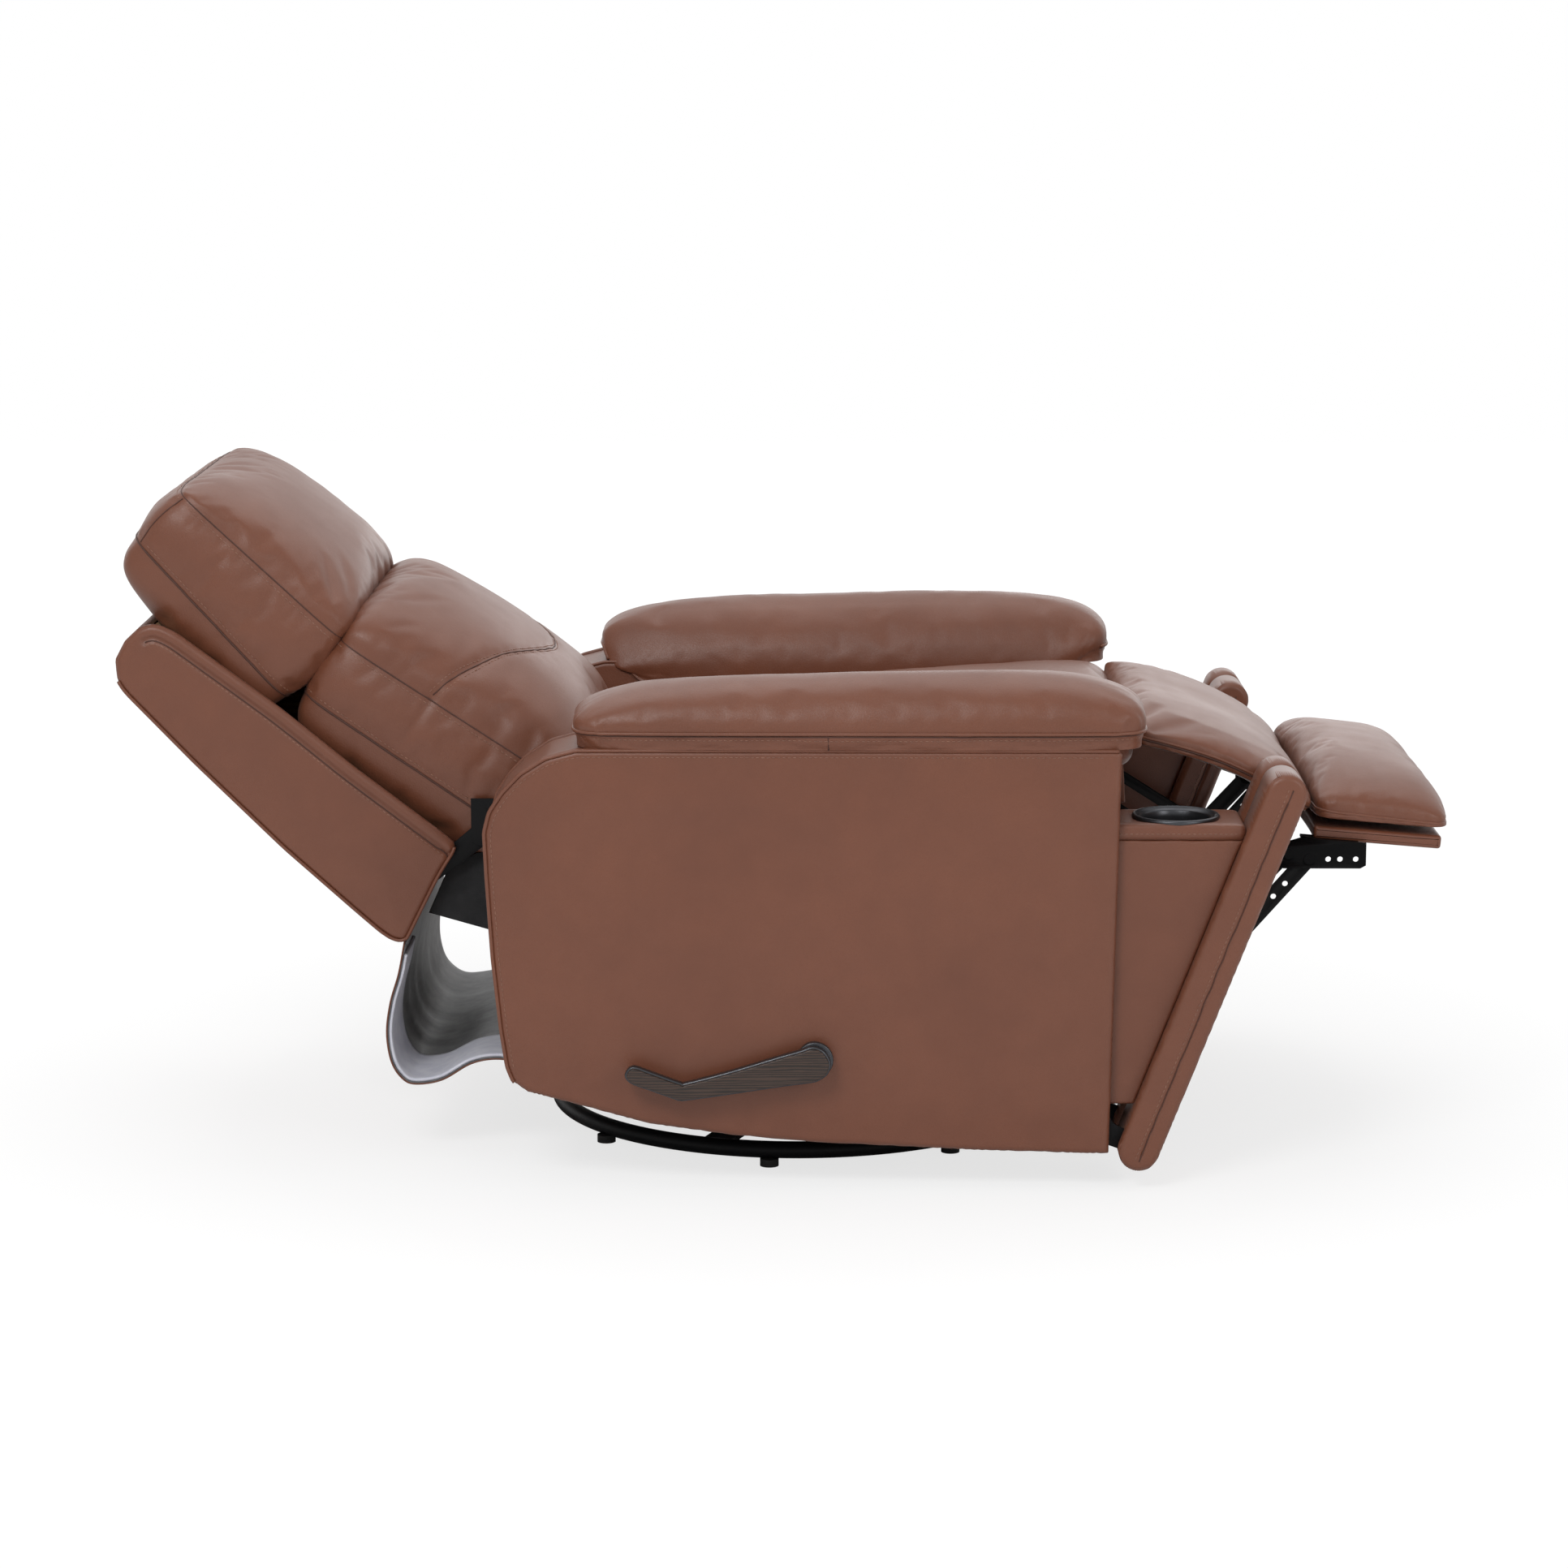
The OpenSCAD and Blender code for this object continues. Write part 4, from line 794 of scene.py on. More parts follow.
@dataclass(frozen=True)
class Coat:
    """A painted, plated or bare metal."""

    name: str
    colour: Colour
    worn: Colour
    roughness: float = 0.4
    metallic: float = 0.0
    bump: float = 0.15
    specular: float = 0.5

    def make(self, groups: dict[str, bpy.types.NodeTree]) -> bpy.types.Material:
        """Builds the material: wear and dust change the colour and the gloss, peel the normal."""
        material, nodes, shader, at = start_material(self.name)
        coat = nodes.new("Group", {"Vector": at}, node_tree=groups["coat"]).outputs
        colour = nodes.mix(nodes.math("MULTIPLY", coat["Wear"], 0.5), self.colour, self.worn)
        rough = nodes.ramp(coat["Dust"], 0.0, 1.0, self.roughness, self.roughness + 0.12)
        bump = nodes.new("Bump", {"Height": coat["Height"], "Strength": self.bump, "Distance": 0.0003})
        nodes.feed(shader, {"Base Color": colour, "Roughness": rough, "Normal": bump.outputs[0],
                            "Metallic": self.metallic, "Specular IOR Level": self.specular})
        return material


@dataclass(frozen=True)
class Cloth:
    """A woven or felted cloth."""

    name: str
    colour: Colour
    thread: Colour
    threads: float = 2600.0
    roughness: float = 0.85
    bump: float = 0.5

    def make(self, groups: dict[str, bpy.types.NodeTree]) -> bpy.types.Material:
        """Builds the material: threads change the normal, slubs the colour."""
        material, nodes, shader, at = start_material(self.name)
        weave = nodes.new("Group", {"Vector": at, "Threads": self.threads}, node_tree=groups["weave"]).outputs
        colour = nodes.mix(nodes.ramp(weave["Slub"], 0.35, 0.65), self.colour, self.thread)
        bump = nodes.new("Bump", {"Height": weave["Height"], "Strength": self.bump, "Distance": 0.0004})
        nodes.feed(shader, {"Base Color": colour, "Normal": bump.outputs[0], "Roughness": self.roughness,
                            "Sheen Weight": 0.2})
        return material


@dataclass(frozen=True)
class Grained:
    """A wood with rings cut lengthwise along X."""

    name: str
    colour: Colour
    dark: Colour
    roughness: float = 0.45
    rings: float = 90.0

    def make(self, groups: dict[str, bpy.types.NodeTree]) -> bpy.types.Material:
        """Builds the material: stretched rings and fibres change the colour and the normal."""
        material, nodes, shader, at = start_material(self.name)
        stretched = nodes.new("Mapping", {"Vector": at, "Scale": (0.08, 1.0, 1.0), "Rotation": (0, 0.12, 0)})
        rings = nodes.new("TexWave", {"Vector": stretched.outputs[0], "Scale": self.rings, "Distortion": 7.0,
                                      "Detail": 3.0, "Detail Scale": 1.5}, bands_direction="Z")
        fibre = nodes.new("TexNoise", {"Vector": stretched.outputs[0], "Scale": 1400.0, "Detail": 3.0})
        mask = nodes.blend(rings.outputs[1], 0.6, fibre.outputs[0], 0.4)
        colour = nodes.mix(nodes.ramp(mask, 0.2, 0.8), self.dark, self.colour)
        bump = nodes.new("Bump", {"Height": mask, "Strength": 0.15, "Distance": 0.0003})
        nodes.feed(shader, {"Base Color": colour, "Normal": bump.outputs[0], "Roughness": self.roughness})
        return material


class Finish(Enum):
    """The finishes; each value is the record's slot and the finish's recipe."""

    LEATHER = ("leather", Hide("leather", (0.173, 0.058, 0.029, 1), (0.138, 0.045, 0.0225, 1)))
    # Painted shade: a darkened copy of the leather for the lines laid along seams and between welts, standing
    # for the shadow in their grooves.
    SEAM = ("leather", Hide("seam_shade", (0.075, 0.024, 0.013, 1), (0.055, 0.018, 0.01, 1),
                            roughness=0.6))
    THREAD = ("leather", Cloth("seam_thread", (0.2, 0.085, 0.05, 1), (0.26, 0.12, 0.07, 1),
                               threads=9000.0, roughness=0.6))
    STEEL = ("black_steel", Coat("black_steel", (0.004, 0.004, 0.0045, 1), (0.01, 0.01, 0.011, 1),
                                 roughness=0.45, specular=0.16))
    WIRE = ("spring_steel", Coat("spring_steel", (0.42, 0.42, 0.43, 1), (0.3, 0.28, 0.26, 1),
                                 roughness=0.36, metallic=1.0))
    GUNMETAL = ("gunmetal", Coat("gunmetal", (0.075, 0.077, 0.084, 1), (0.12, 0.12, 0.13, 1),
                                 roughness=0.3, metallic=0.9))
    DARK_WOOD = ("dark_wood", Grained("dark_wood", (0.055, 0.03, 0.02, 1), (0.012, 0.007, 0.005, 1),
                                      roughness=0.42))
    TIMBER = ("timber", Grained("timber", (0.5, 0.34, 0.19, 1), (0.36, 0.22, 0.11, 1), roughness=0.7,
                                rings=30.0))
    RUBBER = ("glide_rubber", Coat("glide_rubber", (0.015, 0.015, 0.015, 1), (0.04, 0.04, 0.04, 1),
                                   roughness=0.7))
    CAMBRIC = ("cambric", Cloth("cambric", (0.006, 0.006, 0.007, 1), (0.012, 0.012, 0.013, 1),
                                threads=3200.0, roughness=0.9))
    # Partly painted shade: the skirt's inner lining cloth, its grey also standing for the shade inside the
    # skirt's hollow.
    LINING = ("cambric", Cloth("skirt_lining", (0.085, 0.085, 0.09, 1), (0.15, 0.15, 0.155, 1),
                               threads=2200.0, roughness=0.5))
    # Partly painted light: pale wadding, laid only along the near edge of the skirt, where light reaches
    # inside it.
    WADDING = ("cambric", Cloth("wadding", (0.62, 0.63, 0.72, 1), (0.72, 0.73, 0.8, 1),
                                threads=1500.0, roughness=0.9))


class Wardrobe:
    """Makes each finish once and hands it out."""

    def __init__(self) -> None:
        """Builds the shared node groups."""
        self.groups = {"hide": hide_group(), "coat": coat_group(), "weave": weave_group()}
        self.made: dict[Finish, bpy.types.Material] = {}

    def dress(self, obj: bpy.types.Object, finish: Finish) -> bpy.types.Object:
        """Gives the object that finish."""
        slot, recipe = finish.value
        if finish not in self.made:
            self.made[finish] = recipe.make(self.groups)
        obj.data.materials.clear()
        obj.data.materials.append(self.made[finish])
        return obj


@dataclass
class Shop:
    """What every sub-assembly needs: the frame and the finishes."""

    frame: dict
    wardrobe: Wardrobe

    def place(self, obj: bpy.types.Object, finish: Finish, body: str, *nodes: str) -> bpy.types.Object:
        """Dresses a piece, lets it ride on a body and stand for CAD nodes.

        Args:
            obj: The piece.
            finish: Its finish.
            body: CAD body that it moves with.
            nodes: CAD nodes that it replaces.

        Returns:
            The piece.
        """
        self.wardrobe.dress(obj, finish)
        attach(obj, body)
        if nodes:
            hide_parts(*nodes)
        LOG.info("%s: %d faces on %s", obj.name, len(obj.data.polygons), body)
        return obj

    def span(self, node: str) -> tuple[np.ndarray, np.ndarray]:
        """Lowest and highest corner of a CAD node in millimetres."""
        low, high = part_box(node)
        return np.array(low) / MM, np.array(high) / MM


# Cushions


CLOTH_SETTINGS = {"quality": 4, "mass": 0.35, "tension_stiffness": 22, "compression_stiffness": 14,
                  "shear_stiffness": 9, "bending_stiffness": 1.6, "air_damping": 4, "use_pressure": True,
                  "uniform_pressure_force": 4.0}
CLOTH_FRAMES = 20


@dataclass
class Pillow:
    """A boxed cushion: a crowned front panel, a boxing all round and a rear panel.

    Local axes: u along the cushion, y across the chair, v out of its face. They start at the X
    and Z of at, and fall is how many degrees u drops. The outline is a rectangle whose corners
    are pulled in until they are round. The front panel's height is the crown times a product of
    two rounded shares, one along each axis. Seam and welt are v of the front and the rear seam,
    at the low and the high end of u. Gather is the depth of the folds at the two ends and the
    two sides. A groove is its u at the sides and in the middle, the power of its curve and its
    depth.
    """

    name: str
    at: tuple[float, float]
    fall: float
    u: tuple[float, float]
    half: float
    seam: tuple[float, float]
    welt: tuple[float, float]
    crown: float
    rear: float
    middle_y: float = 0.0
    skew: float = 0.0
    power_u: tuple[float, float] = (2.6, 2.6)
    power_y: float = 2.8
    corner: float = 9.0
    overhang: float = 6.0
    puff: float = 7.0
    gather: tuple[float, float, float, float] = (2.0, 2.0, 2.0, 2.0)
    reach: float = 45.0
    cell: float = 24.0
    streak: float = 0.6
    seed: int = 1
    slack: float = 0.012
    foot: float = 1.0
    grooves: tuple[tuple[float, float, float, float], ...] = ()
    cells: tuple[int, int] = (50, 80)

    def world(self, u: np.ndarray, y: np.ndarray, v: np.ndarray) -> np.ndarray:
        """Points of the row frame for local u, y and v."""
        a = math.radians(self.fall)
        return np.stack([self.at[0] + u * math.cos(a) + v * math.sin(a), y + self.middle_y,
                         self.at[1] - u * math.sin(a) + v * math.cos(a)], axis=-1)

    def flat(self, a: np.ndarray, b: np.ndarray, grow: float = 1.0) -> tuple[np.ndarray, np.ndarray]:
        """u and y for shares a and b in -1..1, corners pulled in by 1 / (2 corner + 1)."""
        pull = 1 - (np.abs(a) ** self.corner) * (np.abs(b) ** self.corner) / (2 * self.corner + 1)
        middle, half = (self.u[0] + self.u[1]) / 2, (self.u[1] - self.u[0]) / 2
        return middle + half * a * pull * grow, self.half * b * pull * grow

    def line(self, ends: tuple[float, float], u: np.ndarray) -> np.ndarray:
        """Value at u of a straight line between the cushion's two ends."""
        return np.interp(u, self.u, ends)

    def rise(self, a: np.ndarray, b: np.ndarray) -> np.ndarray:
        """Share of the crown: (1 - |a|^p)^(1/2) (1 - |b|^q)^(1/2), p of its own for each end."""
        power = np.where(np.asarray(a) < 0, *self.power_u)
        return (np.sqrt(np.maximum(0, 1 - np.abs(a) ** power))
                * np.sqrt(np.maximum(0, 1 - np.abs(b) ** self.power_y)))

    def groove_u(self, groove: tuple[float, float, float, float], b: np.ndarray) -> np.ndarray:
        """u of a sewn line at share b: from its first value at the sides to its second in the middle."""
        return groove[0] + (groove[1] - groove[0]) * (1 - np.abs(b) ** groove[2])

    def wrinkles(self, a: np.ndarray, b: np.ndarray) -> np.ndarray:
        """Height of the gathers at the four edges and of the streaks across the crown."""
        u, y = self.flat(a, b)
        length, width = self.u[1] - self.u[0], 2 * self.half
        sides = (((1 + a) * length / 2, y, self.gather[0]), ((1 - a) * length / 2, y, self.gather[1]),
                 ((1 + b) * width / 2, u, self.gather[2]), ((1 - b) * width / 2, u, self.gather[3]))
        total = np.zeros_like(a)
        for index, (away, along, depth) in enumerate(sides):
            fade = np.exp(-away / self.reach) * (1 - np.exp(-away / 5))
            patch = 0.45 + 0.55 * smoothstep(noise(along / 110 + 3, away / 90, self.seed + 40 + index) + 0.5)
            total = total + depth * fade * patch * folds(along, away, self.cell, self.seed + 10 * index)
        streak = noise(u / 13 + 0.9 * noise(y / 120, u / 60, self.seed + 7), y / 210, self.seed + 5)
        edge = smoothstep(3 * (1 - np.abs(a))) * smoothstep(4 * (1 - np.abs(b)))
        slow = noise(u / 75, y / 95, self.seed + 6)
        for groove in self.grooves:
            off = u - self.groove_u(groove, b)
            pucker = folds(y, np.abs(off), 0.6 * self.cell, self.seed + 90)
            total = total - groove[3] * np.exp(-(off / 4.5) ** 2) + 0.5 * pucker * np.exp(-np.abs(off) / 14)
        return total + edge * (self.streak * streak + 1.6 * slow)

    def front(self, a: np.ndarray, b: np.ndarray, plain: bool = False) -> np.ndarray:
        """Points of the front panel, bulging past the seam where it is steepest."""
        share = self.rise(a, b)
        bulge = 4 * share * (1 - share) * self.overhang
        u, y = self.flat(a, b)
        v = self.line(self.seam, u) + self.crown * share * (1 + self.skew * a)
        u, y = u + np.sign(a) * np.abs(a) ** 3 * bulge, y + np.sign(b) * np.abs(b) ** 3 * bulge
        points = self.world(u, y, v)
        if plain:
            return points
        return points + grid_normals(points) * self.wrinkles(a, b)[..., None] * self.turn(points)

    @staticmethod
    def turn(points: np.ndarray) -> float:
        """1 or -1, whichever makes the grid's normals point up."""
        return 1.0 if np.mean(grid_normals(points)[..., 2]) > 0 else -1.0

    def back(self, a: np.ndarray, b: np.ndarray) -> np.ndarray:
        """Points of the rear panel, a bulge below the welt that is deepest near the chair's sides."""
        u, y = self.flat(a, b, self.foot)
        share = (np.sqrt(np.maximum(0, 1 - a**8)) * np.sqrt(np.maximum(0, 1 - np.abs(b) ** 16))
                 * (0.45 + 0.55 * b**2))
        return self.world(u, y, self.line(self.welt, u) - self.rear * share)

    def shares(self) -> tuple[np.ndarray, np.ndarray]:
        """Grid of shares, closer together towards the edges."""
        a, b = (np.sin(np.linspace(-1, 1, n) * np.pi / 2) * 0.55 + np.linspace(-1, 1, n) * 0.45
                for n in self.cells)
        return np.meshgrid(a, b, indexing="ij")

    def seams(self) -> tuple[np.ndarray, np.ndarray]:
        """The front and the rear seam, as loops of points."""
        a, b = self.shares()
        return boundary(self.front(a, b)), boundary(self.back(a, b))

    def boxing(self, front: np.ndarray, back: np.ndarray, share: float) -> np.ndarray:
        """A ring between the two seams, puffed out by a half sine with soft folds."""
        middle = front * (1 - share) + back * share
        out = np.roll(middle, -1, axis=0) - np.roll(middle, 1, axis=0)
        out = unit(np.cross(out, self.world(0.0, 0.0, 1.0) - self.world(0.0, 0.0, 0.0)))
        centre = middle.mean(axis=0)
        out *= np.sign(np.sum(out * (middle - centre), axis=1, keepdims=True))
        depth = np.linalg.norm(front - back, axis=1)
        wave = folds(lengths_along(middle), share * depth, 1.4 * self.cell, self.seed + 70)
        amount = self.puff * math.sin(math.pi * share) ** 0.8 + 0.7 * wave * math.sin(math.pi * share)
        return middle + out * np.reshape(amount, (-1, 1))

    def build(self, rings: int = 16) -> bpy.types.Object:
        """Makes the closed cushion."""
        a, b = self.shares()
        front, back = self.front(a, b), self.back(a, b)
        loops = self.seams()
        shell = Shell(self.name)
        shell.add(front)
        shell.add(back)
        shell.add(np.stack([self.boxing(*loops, t) for t in np.linspace(0, 1, rings)]), wrap_cols=True)
        return shell.build()

    def swell(self, obj: bpy.types.Object) -> None:
        """Runs the cloth simulation and puts its last frame into the mesh."""
        loops = np.vstack(self.seams()) * MM
        pinned = np.flatnonzero(nearest(read_points(obj), loops) < 0.3 * MM)
        obj.vertex_groups.new(name="seams").add(pinned.tolist(), 1.0, "REPLACE")
        cloth = obj.modifiers.new("cloth", "CLOTH")
        for key, value in CLOTH_SETTINGS.items():
            setattr(cloth.settings, key, value)
        cloth.settings.vertex_group_mass = "seams"
        cloth.settings.shrink_min = -self.slack
        cloth.settings.effector_weights.gravity = 0
        cloth.collision_settings.use_collision = False
        for frame_number in range(1, CLOTH_FRAMES + 1):
            bpy.context.scene.frame_set(frame_number)
        apply_modifiers(obj)
        bpy.context.scene.frame_set(1)
        obj.vertex_groups.clear()

    def settle(self, obj: bpy.types.Object, cap: float) -> bpy.types.Object:
        """Lets cloth with a little too much width swell between its pinned seams.

        Args:
            obj: The cushion, freshly built.
            cap: Largest move of a point in millimetres.

        Returns:
            The same object, settled and subdivided once.
        """
        start = read_points(obj)
        self.swell(obj)
        moved = read_points(obj) - start
        length = np.linalg.norm(moved, axis=1, keepdims=True)
        share = np.minimum(1, cap * MM / np.maximum(length, 1e-9))
        obj.data.vertices.foreach_set("co", (start + moved * share).astype(np.float32).ravel())
        obj.data.update()
        LOG.info("%s moved by up to %.1f mm", obj.name, float(length.max()) / MM)
        smoother = obj.modifiers.new("smooth", "SUBSURF")
        smoother.levels = smoother.render_levels = 1
        apply_modifiers(obj)
        obj.data.polygons.foreach_set("use_smooth", np.full(len(obj.data.polygons), True))
        return obj

    def across(self, at_a: float, at_b: float) -> np.ndarray:
        """The line straight across the boxing next to the shares at_a and at_b."""
        edge = boundary(np.stack(self.shares(), axis=-1))
        index = int(np.argmin(((edge - (at_a, at_b)) ** 2).sum(1)))
        loops = self.seams()
        return np.array([self.boxing(*loops, share)[index] for share in np.linspace(0.03, 0.97, 16)])

    def sewn(self, groove: tuple[float, float, float, float], shift: float = 0.0) -> np.ndarray:
        """The line along a groove of the front panel."""
        b = np.linspace(-0.998, 0.998, 70)
        a = (self.groove_u(groove, b) + shift - sum(self.u) / 2) / (self.u[1] - self.u[0]) * 2
        strip = np.array([[-1e-3, 0, 1e-3]])
        return self.front(a[:, None] + strip, b[:, None] + 0 * strip, plain=True)[:, 1]


# Studio


@dataclass
class Studio:
    """Floor, backdrop, lamps and the camera that matches the photograph; lengths are metres.

    A lamp is its name, place, aim, size and power. The floor glows white for the camera from
    the fade's first radius, where only a share of it does, to its second.
    """

    reach: float = 9.0
    fade: tuple[float, float] = (0.75, 1.7)
    glow: tuple[float, float] = (0.7, 1.05)
    soft: float = 0.6
    shine: tuple[float, float] = (0.55, 1.15)
    lamps: tuple[tuple, ...] = (
        ("overhead", (0.1, 0.7, 3.2), (0.0, 0.0, 0.5), (3.2, 2.0), 26.0),
        ("key", (-1.3, -3.3, 3.1), (0.0, 0.0, 0.5), (1.5, 1.1), 62.0),
        ("fill", (2.7, -3.1, 1.9), (0.2, 0.0, 0.45), (1.6, 1.6), 24.0),
        ("strip", (1.2, 4.4, 1.3), (0.3, 0.0, 0.6), (2.2, 0.7), 7.0))
    lens: float = 97.83
    pitch: float = 10.267
    yaw: float = 0.4474
    eye: tuple[float, float, float] = (0.02667, -5.591, 1.451)

    def backdrop(self) -> None:
        """A white world that lights softly and shines brighter from behind the chair."""
        world = bpy.data.worlds.new("studio")
        bpy.context.scene.world = world
        nodes = fresh_nodes(world)
        path = nodes.new("LightPath").outputs
        way = nodes.new("SeparateXYZ", {0: nodes.new("TexCoord").outputs["Generated"]})
        behind = nodes.ramp(way.outputs[1], -0.2, 0.75, *self.shine)
        soft, shine, white = (nodes.new("Background", {"Color": (1, 1, 1, 1), "Strength": level}).outputs[0]
                              for level in (self.soft, behind, 1.0))
        seen = nodes.math("MAXIMUM", path["Is Camera Ray"], path["Is Transmission Ray"])
        mixed = nodes.new("MixShader", {0: path["Is Glossy Ray"], 1: soft, 2: shine}).outputs[0]
        mixed = nodes.new("MixShader", {0: seen, 1: mixed, 2: white}).outputs[0]
        nodes.new("OutputWorld", {"Surface": mixed})

    def floor(self) -> None:
        """A pale floor that keeps the chair's shadow and fades to white away from it."""
        edge = np.linspace(-self.reach, self.reach, 3) / MM
        x, y = np.meshgrid(edge, edge, indexing="ij")
        shell = Shell("studio_floor")
        shell.add(np.stack([x, y, np.zeros_like(x)], axis=-1))
        floor = shell.build()
        material = bpy.data.materials.new("studio_floor")
        nodes = fresh_nodes(material)
        split = nodes.new("SeparateXYZ", {0: nodes.new("TexCoord").outputs["Object"]}).outputs
        squares = [nodes.math("POWER", axis, 2.0) for axis in (split[0], split[1])]
        away = nodes.math("SQRT", nodes.math("ADD", *squares))
        fade = nodes.ramp(away, *self.fade, self.glow[0], 1.0)
        seen = nodes.math("MULTIPLY", nodes.new("LightPath").outputs["Is Camera Ray"], fade)
        paper = nodes.new("BsdfDiffuse", {"Color": (0.9, 0.9, 0.9, 1)}).outputs[0]
        white = nodes.new("Emission", {"Color": (1, 1, 1, 1), "Strength": self.glow[1]}).outputs[0]
        both = nodes.new("MixShader", {0: seen, 1: paper, 2: white}).outputs[0]
        nodes.new("OutputMaterial", {"Surface": both})
        floor.data.materials.append(material)

    def lights(self) -> None:
        """Four soft lamps that the camera doesn't see."""
        for name, at, aim, size, power in self.lamps:
            light = bpy.data.lights.new(name, "AREA")
            light.shape = "RECTANGLE"
            light.size, light.size_y = size
            light.energy = power
            lamp = linked(name, light)
            lamp.location = at
            lamp.visible_camera = False
            lamp.rotation_euler = (Vector(aim) - Vector(at)).to_track_quat("-Z", "Y").to_euler()

    def camera(self) -> None:
        """The photograph's camera."""
        data = bpy.data.cameras.new("camera")
        data.sensor_width = 36.0
        data.lens = self.lens
        camera = linked("camera", data)
        camera.location = self.eye
        camera.rotation_euler = (math.radians(90 - self.pitch), 0, math.radians(self.yaw))
        bpy.context.scene.camera = camera

    def build(self) -> None:
        """Makes the studio."""
        bpy.context.scene.view_settings.view_transform = "Standard"
        self.backdrop()
        self.floor()
        self.lights()
        self.camera()


# Sub-assemblies


@dataclass
class Sewing:
    """Welts, stitch rows and the painted-shade lines along the seams of one piece, gathered into an object
    each.
    """

    shop: Shop
    name: str
    body: str
    cords: Shell = field(init=False)
    threads: Shell = field(init=False)
    seams: Shell = field(init=False)

    def __post_init__(self) -> None:
        """Starts the three shells."""
        self.cords, self.threads = Shell(f"{self.name}_welt"), Shell(f"{self.name}_stitches")
        # The seams shell holds the painted-shade lines in the seams' grooves.
        self.seams = Shell(f"{self.name}_seam")

    def welt(self, path: np.ndarray, radius: float, closed: bool = False) -> None:
        """Adds a cord along a path."""
        tube(self.cords, resample(looped(path) if closed else path, 4.0, closed), radius, closed)

    def line(self, obj: bpy.types.Object | None, path: np.ndarray, closed: bool = False,
             radius: float = 0.9) -> None:
        """Adds a line of painted shade along a seam's path, which is first laid on a piece if one is given.
        """
        path = resample(looped(path) if closed else path, 5.0, closed)
        if obj is not None:
            at, normal = on_surface(obj, path)
            path = steadied(at, closed) + normal * 0.3 * radius
        tube(self.seams, path, radius, closed, sides=6)

    def row(self, obj: bpy.types.Object, path: np.ndarray, closed: bool = False) -> None:
        """Adds a row of stitches along a path that is first laid on a piece."""
        path = resample(looped(path) if closed else path, 6.0)
        at, normal = on_surface(obj, path)
        stitches(self.threads, steadied(at) + normal * 0.2, normal)

    def finish(self) -> None:
        """Makes and places what was added."""
        for shell, finish in ((self.cords, Finish.LEATHER), (self.threads, Finish.THREAD),
                              (self.seams, Finish.SEAM)):
            if shell.count:
                self.shop.place(shell.build(weld=0.002), finish, self.body)


def upholster(shop: Shop, pillow: Pillow, body: str, node: str, cap: float = 22.0,
              name: str = "") -> tuple[bpy.types.Object, Sewing, np.ndarray, np.ndarray]:
    """Makes a leather cushion and starts its sewing.

    Args:
        shop: Where it is placed.
        pillow: The cushion's sizes.
        body: CAD body that it moves with.
        node: CAD node that it replaces.
        cap: Largest move of a point in the cloth simulation, in millimetres.
        name: Name that its sewing starts with, if it isn't the cushion's own.

    Returns:
        The cover, its sewing and its front and rear seam.
    """
    cover = shop.place(pillow.settle(pillow.build(), cap), Finish.LEATHER, body, node)
    return cover, Sewing(shop, name or cover.name, body), *pillow.seams()


